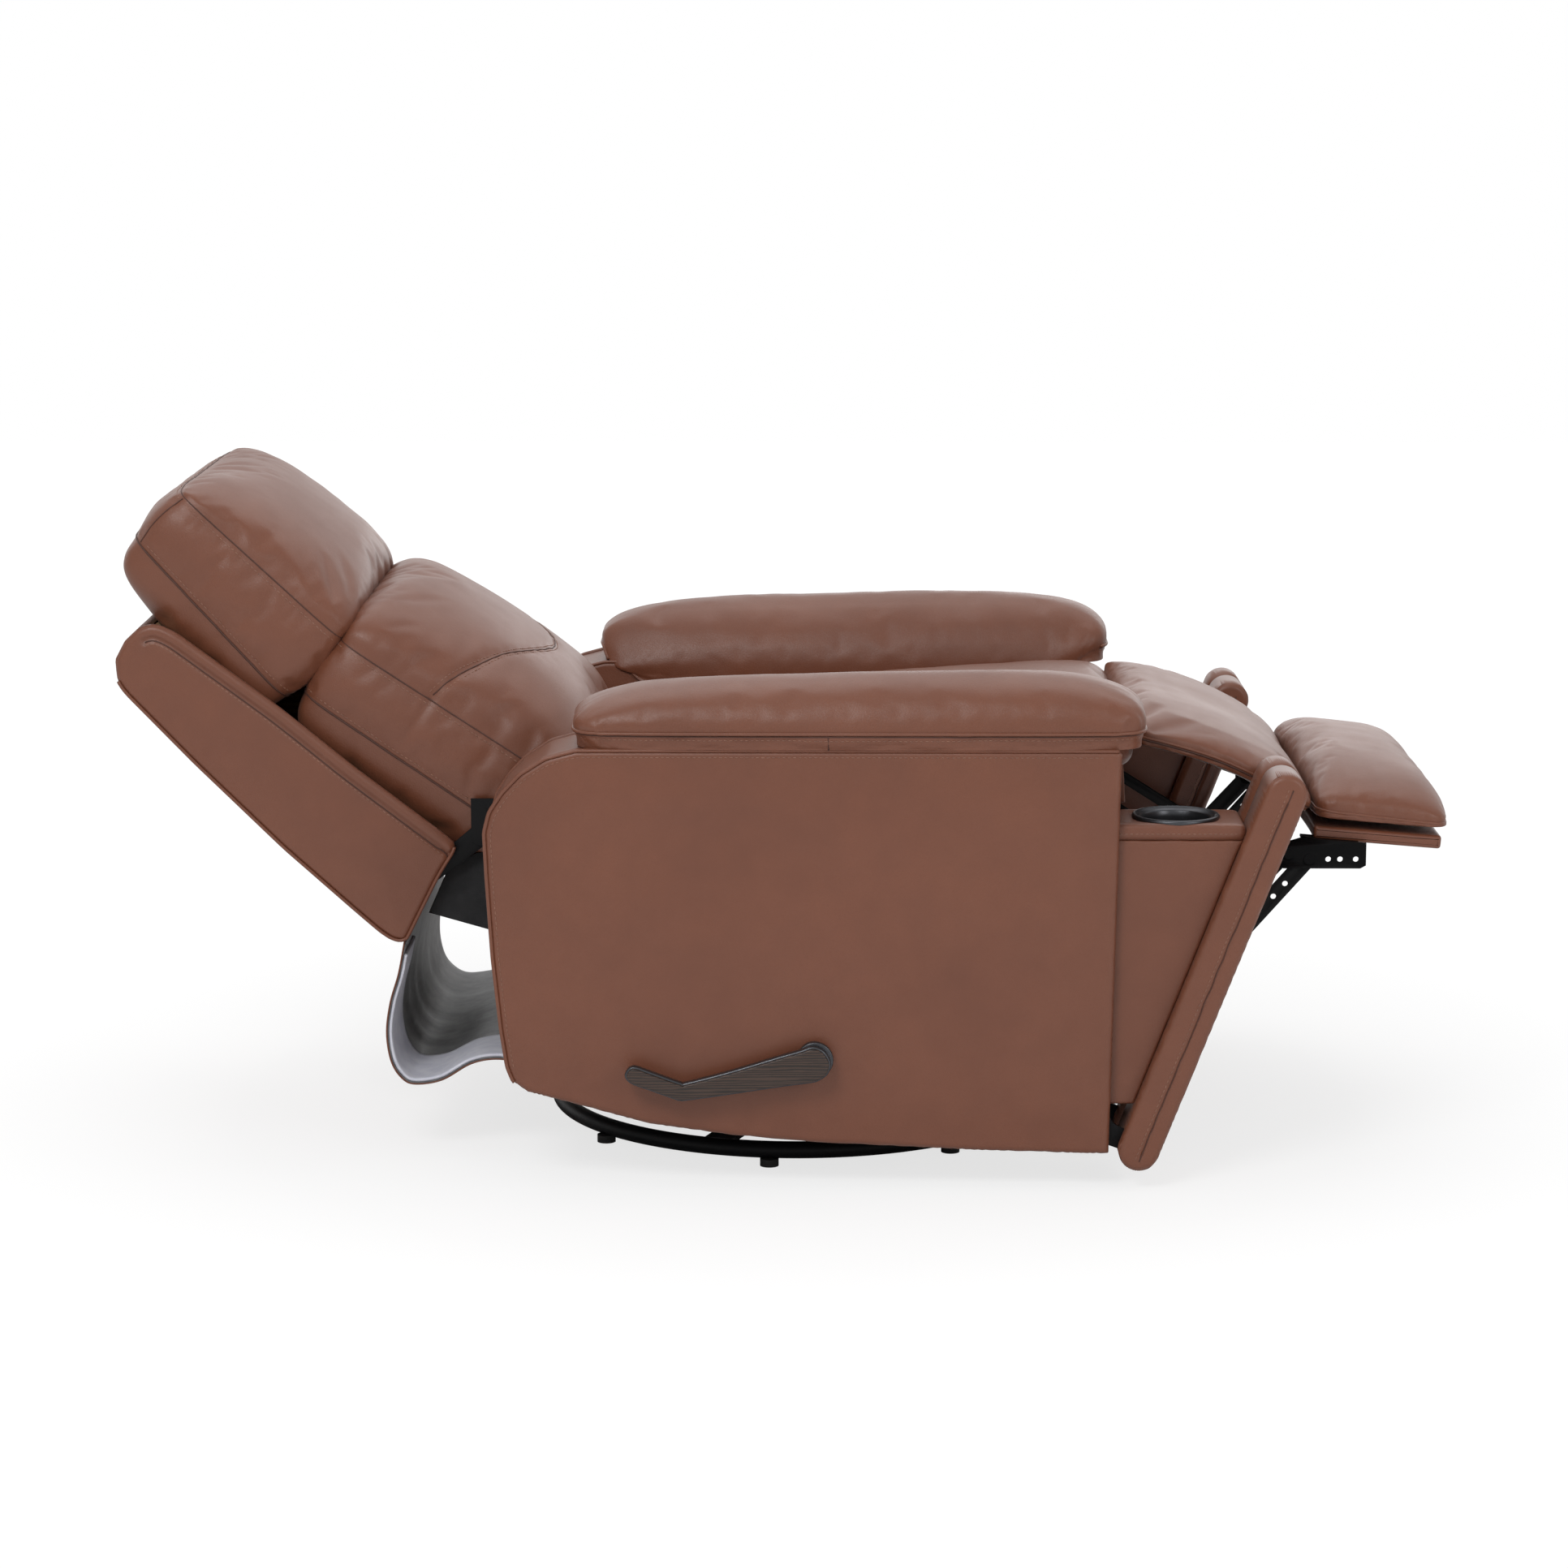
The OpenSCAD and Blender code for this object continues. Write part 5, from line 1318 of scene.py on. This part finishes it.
@dataclass
class BackAssembly:
    """Headrest, back cushion and the outside back with its wings."""

    shop: Shop
    body: str = "back"
    half: float = 290.0
    corners: Points = ((-855, 621), (-497, 287), (-431, 411), (-828, 689))

    def headrest(self) -> Pillow:
        """The headrest's sizes."""
        return Pillow("headrest_cover", at=(-710, 733), fall=45, u=(-137, 144), half=268, seam=(41, 51),
                      welt=(-40, -53), crown=58, rear=60, skew=0.16, power_u=(2.4, 7.0), power_y=3.4,
                      overhang=5, puff=8, gather=(1.8, 1.2, 0.9, 0.9), seed=11, streak=0.9)

    def lumbar(self) -> Pillow:
        """The back cushion's sizes."""
        return Pillow("back_cushion_cover", at=(-480, 554), fall=33.5, u=(-150, 226), half=267,
                      seam=(42, 44), welt=(-40, -46), crown=92, rear=66, power_u=(9.0, 3.6), power_y=3.2,
                      overhang=6, puff=7, gather=(1.8, 2.0, 1.5, 1.5), seed=23, cells=(60, 80),
                      grooves=((-8, 94, 1.5, 4.2),))

    def cushions(self) -> None:
        """Makes the two cushions with a stitched seam on each side of their boxing."""
        for pillow, node in ((self.headrest(), "headrest"), (self.lumbar(), "back_cushion")):
            cover, sewing, front, rear = upholster(self.shop, pillow, self.body, node, name=node)
            sewing.line(cover, front, closed=True)
            sewing.line(cover, rear, closed=True, radius=1.4)
            sewing.row(cover, pillow.boxing(front, rear, 0.07), closed=True)
            sewing.row(cover, pillow.boxing(front, rear, 0.92), closed=True)
            for groove in pillow.grooves:
                sewing.line(cover, pillow.sewn(groove))
                for shift in (-6.0, 6.0):
                    sewing.row(cover, pillow.sewn(groove, shift))
            for side in Side if node == "headrest" else ():
                sewing.line(cover, pillow.across(-0.93, side.value))
            sewing.finish()

    def wings(self) -> None:
        """Makes the two wings and the rear wall, with the inset seam under the wings' upper roll."""
        for side in Side:
            face = side.value * self.half
            edges = quarters(rounded(node_outline(self.shop.frame, "back_shell", face), 14.0), self.corners)
            seam = beside(resample(edges[1], 6.0), -17.0)
            seam = np.vstack([seam[:-4], seam[-5] + unit(seam[-5] - seam[-14]) * 34])
            shell = Shell(f"back_wing_{side.word}")
            Panel(edges, face, thick=9.5, out=side.value, radius=8, puff=3.5, wander=1.2,
                  seed=61 + side.value, cells=(80, 190), grooves=(seam,), groove=(3.4, 4.0)).add(shell)
            nodes = ("back_shell",) if side is Side.RIGHT else ()
            wing = self.shop.place(shell.build(), Finish.LEATHER, self.body, *nodes)
            sewing = Sewing(self.shop, wing.name, self.body)
            sewing.line(wing, in_plane(seam, face + side.value * 2.0))
            sewing.row(wing, in_plane(seam - (0.0, 5.5), face + side.value * 2.0))
            rim = resample(np.vstack([edges[0], edges[3][1:-1]]), 6.0)
            for below in (1.5, 7.0):
                sewing.welt(in_plane(rim, face - side.value * below), 2.3)
            # Painted shade in the groove between the two welts.
            sewing.line(None, in_plane(rim, face - side.value * 4.2), radius=2.0)
            sewing.finish()
        loop = node_outline(self.shop.frame, "back_shell", -self.half)
        low, _, rear, front = quarters(loop, self.corners)
        path = np.vstack([rear[::-1], low[1:], front[1:-4]])
        shell = Shell("back_rear_cover")
        slab(shell, ribbon(path, 9.0), -self.half + 4, self.half - 4, radius=2, wander=0.6, seed=67)
        self.shop.place(shell.build(), Finish.LEATHER, self.body)

    def build(self) -> None:
        """Makes the cushions and the shell."""
        self.cushions()
        self.wings()


@dataclass
class ArmPad(Pillow):
    """An arm's pad, whose cover runs on down its inner side."""

    drop: float = 38.0
    inner: int = 1

    def flat(self, a: np.ndarray, b: np.ndarray, grow: float = 1.0) -> tuple[np.ndarray, np.ndarray]:
        """The outline; a smaller one draws in at the outer side and a little at the ends."""
        u, y = super().flat(a, b)
        lean = (1 - grow) * self.half * smoothstep(-self.inner * y / self.half)
        return u * (1 - 0.12 * (1 - grow)), y + self.inner * lean

    def world(self, u: np.ndarray, y: np.ndarray, v: np.ndarray) -> np.ndarray:
        """Points of the row frame, lowered past the arm's inner face."""
        points = super().world(u, y, v)
        start = 0.88 - 0.42 * smoothstep(np.asarray(v) / 30)
        share = smoothstep((self.inner * np.asarray(y) / self.half - start) / (0.98 - start))
        points[..., 2] -= self.drop * share * smoothstep((self.u[1] - np.asarray(u)) / 90)
        return points


@dataclass
class Arm:
    """One arm: outer and inner panel, the band over its rear and top, and the pad."""

    shop: Shop
    side: Side
    outer: float = 435.0
    inner: float = 292.0
    wall: float = 8.0
    outer_corners: Points = ((-352, 137), (393, 48), (399, 558), (-268, 558))
    inner_corners: Points = ((-350, 131), (396, 131), (399, 558), (-268, 558))

    def panels(self) -> None:
        """Makes the panels and the band, with a double welt along the rear and top."""
        word, sign = self.side.word, self.side.value
        outside = node_outline(self.shop.frame, f"arm_{word}", sign * self.outer)
        edges = quarters(outside, self.outer_corners)
        shell = Shell(f"arm_cover_{word}")
        Panel(edges, sign * self.outer, self.wall, sign, radius=7, puff=3, wander=1.6, seed=71 + sign,
              cells=(120, 170)).add(shell)
        inside = node_outline(self.shop.frame, f"arm_{word}", sign * self.inner)
        Panel(quarters(inside, self.inner_corners), sign * self.inner, self.wall, -sign, radius=6, puff=1.5,
              wander=0.8, seed=75 + sign, cells=(70, 100)).add(shell)
        path = np.vstack([edges[2], edges[1][1:]])
        span = sorted((sign * (self.inner + 3), sign * (self.outer - 3)))
        band = ribbon(path[::-1], self.wall)[::-1] + (0.0, -0.4)
        slab(shell, band, *span, radius=2.5, wander=0.5)
        cover = self.shop.place(shell.build(), Finish.LEATHER, "chassis", f"arm_{word}")
        sewing = Sewing(self.shop, cover.name, "chassis")
        rim = resample(path, 5.0)
        for shift in (1.5, 7.5):
            sewing.welt(in_plane(rim, sign * (self.outer - shift)), 2.4)
        # Painted shade in the groove between the two welts.
        sewing.line(None, in_plane(rim, sign * (self.outer - 4.5)), radius=1.9)
        sewing.welt(in_plane(rim, sign * (self.inner + 2)), 2.2)
        row = beside(resample(path, 6.0), -8.0)
        sewing.row(cover, in_plane(row, sign * (self.outer + 1))[3:-3])
        sewing.finish()

    def pad(self) -> None:
        """Makes the pad with its band, welt, stitches and cross seam."""
        word, sign = self.side.word, self.side.value
        pad = ArmPad(f"arm_pad_cover_{word}", at=(80, 560), fall=0, u=(-355, 353), half=82,
                     seam=(20.5, 20.5), welt=(-1, -1), crown=60, rear=0, middle_y=sign * 363.5, overhang=5,
                     puff=-2.0, power_u=(6.0, 7.0), power_y=2.6, corner=5, skew=0.12,
                     gather=(3.6, 4.2, 0.5, 0.5), reach=26, cell=12, slack=0.002, foot=0.9,
                     seed=41 + sign, cells=(110, 46), inner=-sign)
        cover, sewing, front, rear = upholster(self.shop, pad, "chassis", f"arm_pad_{word}", cap=5.0)
        outside = boundary(-pad.shares()[1] * pad.inner) > -0.8
        sewing.welt(run(front, outside), 2.4)
        sewing.line(cover, run(pad.boxing(front, rear, 0.14), outside))
        sewing.row(cover, run(pad.boxing(front, rear, 0.36), outside))
        sewing.line(cover, pad.across(-40 / 354, -pad.inner))
        sewing.finish()

    def build(self) -> None:
        """Makes the arm and its pad."""
        self.panels()
        self.pad()


@dataclass
class ArmFront:
    """The tilt-out front of one arm: panel, bin, padded lid and cup holder."""

    shop: Shop
    side: Side
    hinge: tuple[float, float] = (442.0, 50.0)
    tilt: float = 21.2
    cup: tuple[float, float] = (474.5, 363.5)
    hole: float = 45.4
    lid: tuple[float, float, float] = (384.0, 444.0, 462.0)
    corners: Points = ((411.5, 29.5), (447.5, 29.5), (447.5, 550), (411.5, 550))
    faces: Points = ((441.0, 1), (291.0, -1))

    @property
    def body(self) -> str:
        """The CAD body that it moves with."""
        return f"arm_front_{self.side.word}"

    def opened(self, x: float, z: float) -> tuple[float, float]:
        """A point of the closed panel, turned about the hinge to where it is when open."""
        a = math.radians(self.tilt)
        dx, dz = x - self.hinge[0], z - self.hinge[1]
        return (self.hinge[0] + dx * math.cos(a) + dz * math.sin(a),
                self.hinge[1] - dx * math.sin(a) + dz * math.cos(a))

    def upright(self, x: float, low: float, high: float, count: int) -> np.ndarray:
        """Points of an upright line on the closed panel, where they are when it is open."""
        return np.array([self.opened(x, z) for z in np.linspace(low, high, count)])

    def panel(self) -> None:
        """Makes the padded panel from two halves, with the front boxing's seam on each."""
        word, sign = self.side.word, self.side.value
        corners = tuple(self.opened(x, z) for x, z in self.corners)
        shell = Shell(f"tilt_panel_cover_{word}")
        seam = self.upright(434.0, 44, 522, 60)
        for face, out in self.faces:
            loop = node_outline(self.shop.frame, f"tilt_panel_{word}", sign * face)
            Panel(quarters(loop, corners), sign * face, thick=74.9, out=sign * out, radius=8, puff=1.5,
                  wander=1.0, seed=81 + sign, cells=(150, 44), grooves=(seam,), groove=(2.0, 2.6)).add(shell)
        cover = self.shop.place(shell.build(), Finish.LEATHER, self.body, f"tilt_panel_{word}")
        sewing = Sewing(self.shop, cover.name, self.body)
        for face, out in self.faces:
            y = sign * (face + out)
            sewing.line(cover, in_plane(self.upright(434.0, 36, 541, 90), y), radius=0.8)
            sewing.row(cover, in_plane(self.upright(428.5, 36, 541, 90), y))
        sewing.finish()

    def bin(self) -> None:
        """Makes the bin's two sides and the strip of its rear and floor."""
        word, sign = self.side.word, self.side.value
        shell = Shell(f"tilt_bin_cover_{word}")
        front = self.shop.span(f"tilt_bin_{word}")[1][0]
        corners = ((393, 108), (front - 128, 108), (front, 443.7), (384, 443.7))
        for face, out in ((418.0, 1), (309.0, -1)):
            loop = node_outline(self.shop.frame, f"tilt_bin_{word}", sign * face)
            edges = quarters(loop, corners)
            Panel(edges, sign * face, thick=8.5, out=sign * out, radius=3.5, puff=0.6, wander=0.4,
                  seed=91 + sign, cells=(70, 36)).add(shell)
        path = np.vstack([edges[2][::-1], edges[0][1:]])
        slab(shell, ribbon(path, 8.0), *sorted((sign * 311, sign * 416)), radius=2)
        self.shop.place(shell.build(), Finish.LEATHER, self.body, f"tilt_bin_{word}")

    def cover_lid(self) -> None:
        """Makes the padded lid: sections from its rounded edge to the cup's hole, closed below."""
        word, sign = self.side.word, self.side.value
        x0, low, top = self.lid
        x1 = float(self.shop.span(f"bin_lid_{word}")[1][0]) - 4
        outline = rounded(np.array([[x0, -54.5], [x1, -54.5], [x1, 54.5], [x0, 54.5]]), 8.0, 3.0)
        angle = np.arctan2(outline[:, 1], outline[:, 0] - self.cup[0])
        hole = np.stack([self.cup[0] + self.hole * np.cos(angle), self.hole * np.sin(angle)], axis=1)
        sections = ((0, low + 0.6), (0, low + 9), (0, top - 3), (0.03, top - 0.8), (0.1, top + 0.6),
                    (0.25, top + 1.6), (0.5, top + 2), (0.75, top + 1.2), (0.9, top), (1, top - 3),
                    (1, low + 0.6), (0.5, low + 0.6))
        share, level = np.array(sections).T
        share = share[:, None, None]
        rings = outline[None] * (1 - share) + hole[None] * share
        rings[1] += (outline - outline.mean(axis=0)) * 0.012
        grid = np.stack([rings[..., 0], rings[..., 1] + sign * self.cup[1],
                         np.broadcast_to(level[:, None], rings.shape[:2])], axis=-1)
        shell = Shell(f"bin_lid_cover_{word}")
        shell.add(grid, wrap_rows=True, wrap_cols=True)
        cover = self.shop.place(shell.build(), Finish.LEATHER, self.body, f"bin_lid_{word}")
        sewing = Sewing(self.shop, cover.name, self.body)
        ring = in_plane(np.stack([outline[:, 0], np.full(len(outline), low + 8.0)], axis=1),
                        outline[:, 1] + sign * self.cup[1])
        sewing.row(cover, ring, closed=True)
        sewing.finish()

    def cup_holder(self) -> None:
        """Makes the pressed cup: a profile turned about its axis, rolled at the rim."""
        word, sign = self.side.word, self.side.value
        roll = np.linspace(-0.5, 1.0, 8) * np.pi
        rim = np.stack([51.6 + 3.4 * np.cos(roll), 464.7 + 3.4 * np.sin(roll)], axis=1)[::-1]
        inner = np.array([[0.01, 390.2], [36, 390.2], [40.5, 391.6], [42.6, 396], [43, 410], [43, 455],
                          [43.3, 462.4], [44.6, 464.3], [48, 464.8]])
        outer = np.array([[46.5, 462.5], [45, 460], [44.9, 396], [43.5, 390], [40, 388.2], [0.01, 388.2]])
        profile = np.vstack([inner, rim[1:], outer])
        turn = circle((0.0, 0.0), 1.0)[None]
        rings = np.array((self.cup[0], sign * self.cup[1])) + profile[:, :1, None] * turn
        level = np.broadcast_to(profile[:, 1:, None], (*rings.shape[:2], 1))
        grid = np.concatenate([rings, level], axis=-1)
        shell = Shell(f"cup_{word}")
        shell.add(grid, wrap_cols=True)
        self.shop.place(shell.build(weld=0.03), Finish.GUNMETAL, self.body, f"cup_holder_{word}")

    def build(self) -> None:
        """Makes the panel, the bin, its lid and the cup holder."""
        self.panel()
        self.bin()
        self.cover_lid()
        self.cup_holder()


@dataclass
class Chaise(Pillow):
    """A pad whose underside follows a bent line in X and Z."""

    base: Points = ((422, 552), (471, 541), (533, 522), (590, 496), (630, 473), (656, 456))

    def world(self, u: np.ndarray, y: np.ndarray, v: np.ndarray) -> np.ndarray:
        """Points at distance u along the bent line and v off it."""
        line = catmull(np.array(self.base), 2.0)
        length = lengths_along(line)
        s = (u - self.u[0]) / (self.u[1] - self.u[0]) * length[-1]
        tangent = unit(np.gradient(line, axis=0))
        x, z, along_x, along_z = (np.interp(s, length, column) for column in (*line.T, *tangent.T))
        return np.stack([x - v * along_z, y + self.middle_y, z + v * along_x], axis=-1)


@dataclass
class SeatAssembly:
    """Seat cushion, chaise pad, footrest and the strips round the seat."""

    shop: Shop
    half: float = 254.0
    # A black cambric sheet on each side under the back: partly a cloth gusset, partly painted shade filling
    # the dark gap between the back and the arm.
    gusset: Points = (
        (-468, 318), (-386, 293), (-376, 290), (-378, 396), (-404, 396), (-442, 378))

    def seat(self) -> None:
        """Makes the seat cushion."""
        seat = Pillow("seat_cover", at=(119, 529), fall=-3.2, u=(-302, 311), half=277, seam=(0, 2),
                      welt=(-30, -30), crown=34, rear=15, overhang=3, puff=2, power_u=(4.0, 10.0),
                      power_y=2.6, gather=(1, 1, 1, 1), seed=31, cells=(56, 56))
        _, sewing, front, _ = upholster(self.shop, seat, "chassis", "seat_cushion", cap=6.0)
        sewing.welt(front, 2.6, closed=True)
        sewing.finish()

    def chaise(self) -> None:
        """Makes the chaise pad with its seam and the strip below it."""
        pad = Chaise("chaise_cover", at=(0, 0), fall=0, u=(-123, 123), half=276, seam=(0, 0),
                     welt=(-9, -9), crown=25, rear=2, skew=-0.05, power_u=(14.0, 4.5), power_y=6,
                     overhang=5, puff=1.5, corner=9, gather=(1.0, 1.6, 2.8, 2.8), slack=0.005, reach=20,
                     cell=12, seed=47, cells=(50, 84), streak=0.4)
        cover, sewing, front, rear = upholster(self.shop, pad, "chaise", "chaise_pad", cap=6.0)
        sewing.welt(front, 2.0, closed=True)
        sewing.line(cover, pad.boxing(front, rear, 0.3), closed=True, radius=1.3)
        sewing.finish()

    def footrest(self) -> None:
        """Makes the footrest's pad and its covered board."""
        pad = Pillow("footrest_cover", at=(744, 448), fall=4.6, u=(-85, 86), half=277, seam=(1, -5),
                     welt=(-8, -9), crown=51, rear=0, overhang=5, puff=2, power_u=(6.0, 2.8), power_y=4.2,
                     gather=(0.8, 1.6, 2.6, 2.6), reach=20, slack=0.005, cell=12, seed=37, cells=(44, 84))
        _, sewing, front, _ = upholster(self.shop, pad, "footrest", "ottoman_pad", cap=7.0)
        sewing.welt(front, 2.2, closed=True)
        sewing.finish()
        shell = Shell("footrest_board_cover")
        loop = rounded(node_outline(self.shop.frame, "ottoman_board", -278.0), 6.0, 3.0)
        slab(shell, inset(loop, 1.5) - (0.0, 4.0), -271.0, 271.0, radius=5, wander=0.6, seed=39)
        self.shop.place(shell.build(), Finish.LEATHER, "footrest", "ottoman_board")

    def strips(self) -> None:
        """Makes the covered front rail, the flap behind the seat and the dust cover."""
        for node, finish, radius, held in (("seat_front_rail", Finish.LEATHER, 3.0, False),
                                           ("seat_rear_flap", Finish.LEATHER, 1.4, True),
                                           ("dust_cover", Finish.CAMBRIC, 0.8, True)):
            loop = node_outline(self.shop.frame, node, -self.half)
            shell = Shell(f"{node}_cloth")
            outline = resample(looped(loop), 3.0, closed=True)
            slab(shell, outline, -self.half, self.half, radius=radius)
            # The dust cover gets a black side sheet on each side, partly cloth and partly painted shade under
            # the back.
            for side in Side if node == "dust_cover" else ():
                gusset = rounded(np.array(self.gusset), 5.0, 3.0)
                slab(shell, gusset, *sorted((side.value * 256, side.value * 258)), radius=0.8)
            piece = self.shop.place(shell.build(), finish, "chassis", node)
            if held:
                length = 0.5 * float(lengths_along(looped(outline))[-1])

    def build(self) -> None:
        """Makes the pads and strips."""
        self.seat()
        self.chaise()
        self.footrest()
        self.strips()


@dataclass
class Skirt:
    """The rear skirt that hangs below the back: leather outside, a grey lining inside that is partly painted
    shade, and at the near edge pale wadding that is partly painted light.
    """

    shop: Shop
    half: float = 284.0
    near: Points = (
        (-498, 285), (-507, 243), (-519, 205), (-525, 165), (-520, 127), (-506, 104), (-488, 96),
        (-453, 102), (-416, 124), (-385, 131), (-352, 128))
    far: Points = (
        (-498, 285), (-500, 243), (-505, 205), (-506, 170), (-499, 140), (-484, 122), (-466, 114),
        (-440, 116), (-412, 122), (-385, 127), (-352, 128))

    def sheet(self, off: float, t: np.ndarray, share: np.ndarray) -> np.ndarray:
        """Grid of points at shares t across the chair and share down the skirt, moved off it inwards."""
        curves = [resample(catmull(np.array(line), 2.0), 2.0) for line in (self.near, self.far)]
        near, far = (at_lengths(curve, np.linspace(0, 1, len(curve)), share)[None] for curve in curves)
        line = near * (1 - t[:, None, None]) + far * t[:, None, None]
        tangent = unit(np.gradient(line, axis=1))
        normal = np.stack([-tangent[..., 1], tangent[..., 0]], axis=-1)
        s, y = np.meshgrid(share, t)
        droop = np.sin(np.pi * s) * (2.6 * noise(y * 7, s * 1.4, 13) + 1.8 * noise(y * 16, s * 2 + 5, 14))
        line = line + normal * (off + droop)[..., None]
        return in_plane(line, (-self.half + 2 * self.half * t)[:, None])

    def layer(self, name: str, outer: float, inner: float, t: np.ndarray,
              share: np.ndarray) -> bpy.types.Object:
        """A closed layer between two offsets."""
        shell = Shell(name)
        shell.add_layer(self.sheet(outer, t, share), self.sheet(inner, t, share))
        return shell.build()

    def build(self) -> None:
        """Makes the three layers."""
        t, share = np.linspace(0, 1, 80), np.linspace(0, 1, 90)
        leather = self.layer("rear_skirt_cover", -1.8, 0.2, t, share)
        # The grey lining is partly the real lining and partly painted shade of the skirt's dark inside.
        lining_and_shade = self.layer("rear_skirt_lining", 0.6, 1.6, t, share)
        # The pale wadding strip covers only the near fifth of the skirt's width: partly real wadding, partly
        # painted light where light gets in.
        t, share = np.linspace(0.004, 0.2, 16), np.linspace(0.05, 0.97, 100)
        wadding = self.layer("rear_skirt_wadding", 1.9, 5.5, t, share)
        self.shop.place(leather, Finish.LEATHER, "chassis", "rear_skirt")
        self.shop.place(lining_and_shade, Finish.LINING, "chassis")
        self.shop.place(wadding, Finish.WADDING, "chassis")
        length = float(lengths_along(catmull(np.array(self.near), 2.0))[-1])


@dataclass
class Handle:
    """The release handle: a wooden face on a cranked metal lever with a round boss behind."""

    shop: Shop
    pivot: tuple[float, float] = (24.8, 172.4)
    boss: float = 23.0
    outline: Points = (
        (-210.3, 152.7), (-209.3, 159.9), (-203.2, 166.1), (-195.2, 166.1), (-184.1, 162.0), (-142.0, 146.6),
        (-134.0, 146.6), (-79.6, 161.2), (-19.4, 179.9), (5.7, 187.2), (20.8, 192.4), (32.8, 189.3),
        (40.8, 181.1), (44.9, 169.7), (40.9, 157.3), (29.9, 149.0), (18.8, 145.9), (-19.4, 140.6),
        (-79.7, 131.2), (-130.0, 123.8), (-142.1, 122.8), (-152.1, 125.9), (-180.3, 136.2), (-202.3, 144.4))

    def build(self) -> None:
        """Makes the face, and the lever with its boss."""
        loop = catmull(np.array(self.outline), 2.0, closed=True)
        face, lever = Shell("handle_face"), Shell("handle_body")
        slab(face, inset(loop, 2.4), -471.0, -463.0, radius=1.6)
        slab(lever, loop, -467.0, -455.5, radius=2.4)
        slab(lever, circle(self.pivot, self.boss), -456.5, -448.0, radius=2.0)
        self.shop.place(face.build(), Finish.DARK_WOOD, "handle", "handle_lever")
        self.shop.place(lever.build(), Finish.GUNMETAL, "handle", "handle_trim")


@dataclass
class Metalwork:
    """The hard CAD nodes: bevelled copies of the crisp ones, new finishes for the rest."""

    shop: Shop
    plain: tuple[str, ...] = ("base_ring", "ring_glides", "seat_springs", "back_boards", "back_frame",
                              "arm_frame_right", "arm_frame_left", "seat_frame_rails")
    bevel: float = 0.6
    sharp: float = 40.0

    def softened(self, node: str, obj: bpy.types.Object) -> bpy.types.Object:
        """A merged copy of a CAD node with small bevels on its sharp edges."""
        mesh = obj.data.copy()
        mesh.name = f"{node}_bevelled"
        copy = linked(mesh.name, cleaned(mesh, 0.02, flatten=True))
        bevel = copy.modifiers.new("bevel", "BEVEL")
        bevel.width = self.bevel * MM
        bevel.segments = 2
        bevel.limit_method = "ANGLE"
        bevel.angle_limit = math.radians(self.sharp)
        bevel.harden_normals = True
        return apply_modifiers(copy)

    def build(self) -> None:
        """Dresses each node that is still shown in the first finish of its slot in the record."""
        record = self.shop.frame["record"]
        slots = {entry["node"]: entry["material_slot"] for entry in record["subparts"]}
        bodies = {node: body for body, nodes in record["behaviour"]["bodies"].items() for node in nodes}
        by_slot = {finish.value[0]: finish for finish in reversed(Finish)}
        for node, obj in list(self.shop.frame["nodes"].items()):
            if obj.hide_render:
                continue
            if node in self.plain:
                self.shop.wardrobe.dress(obj, by_slot[slots[node]])
            else:
                self.shop.place(self.softened(node, obj), by_slot[slots[node]], bodies[node], node)


def main(frame: dict) -> None:
    """Builds the studio and the sub-assemblies in order.
    """
    logging.basicConfig(level=logging.INFO, format="%(name)s %(message)s")
    shop = Shop(frame, Wardrobe())
    Studio().build()
    BackAssembly(shop).build()
    SeatAssembly(shop).build()
    for side in Side:
        Arm(shop, side).build()
        ArmFront(shop, side).build()
    Skirt(shop).build()
    Handle(shop).build()
    Metalwork(shop).build()


if __name__ == "__main__":
    the_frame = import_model()
    main(the_frame)
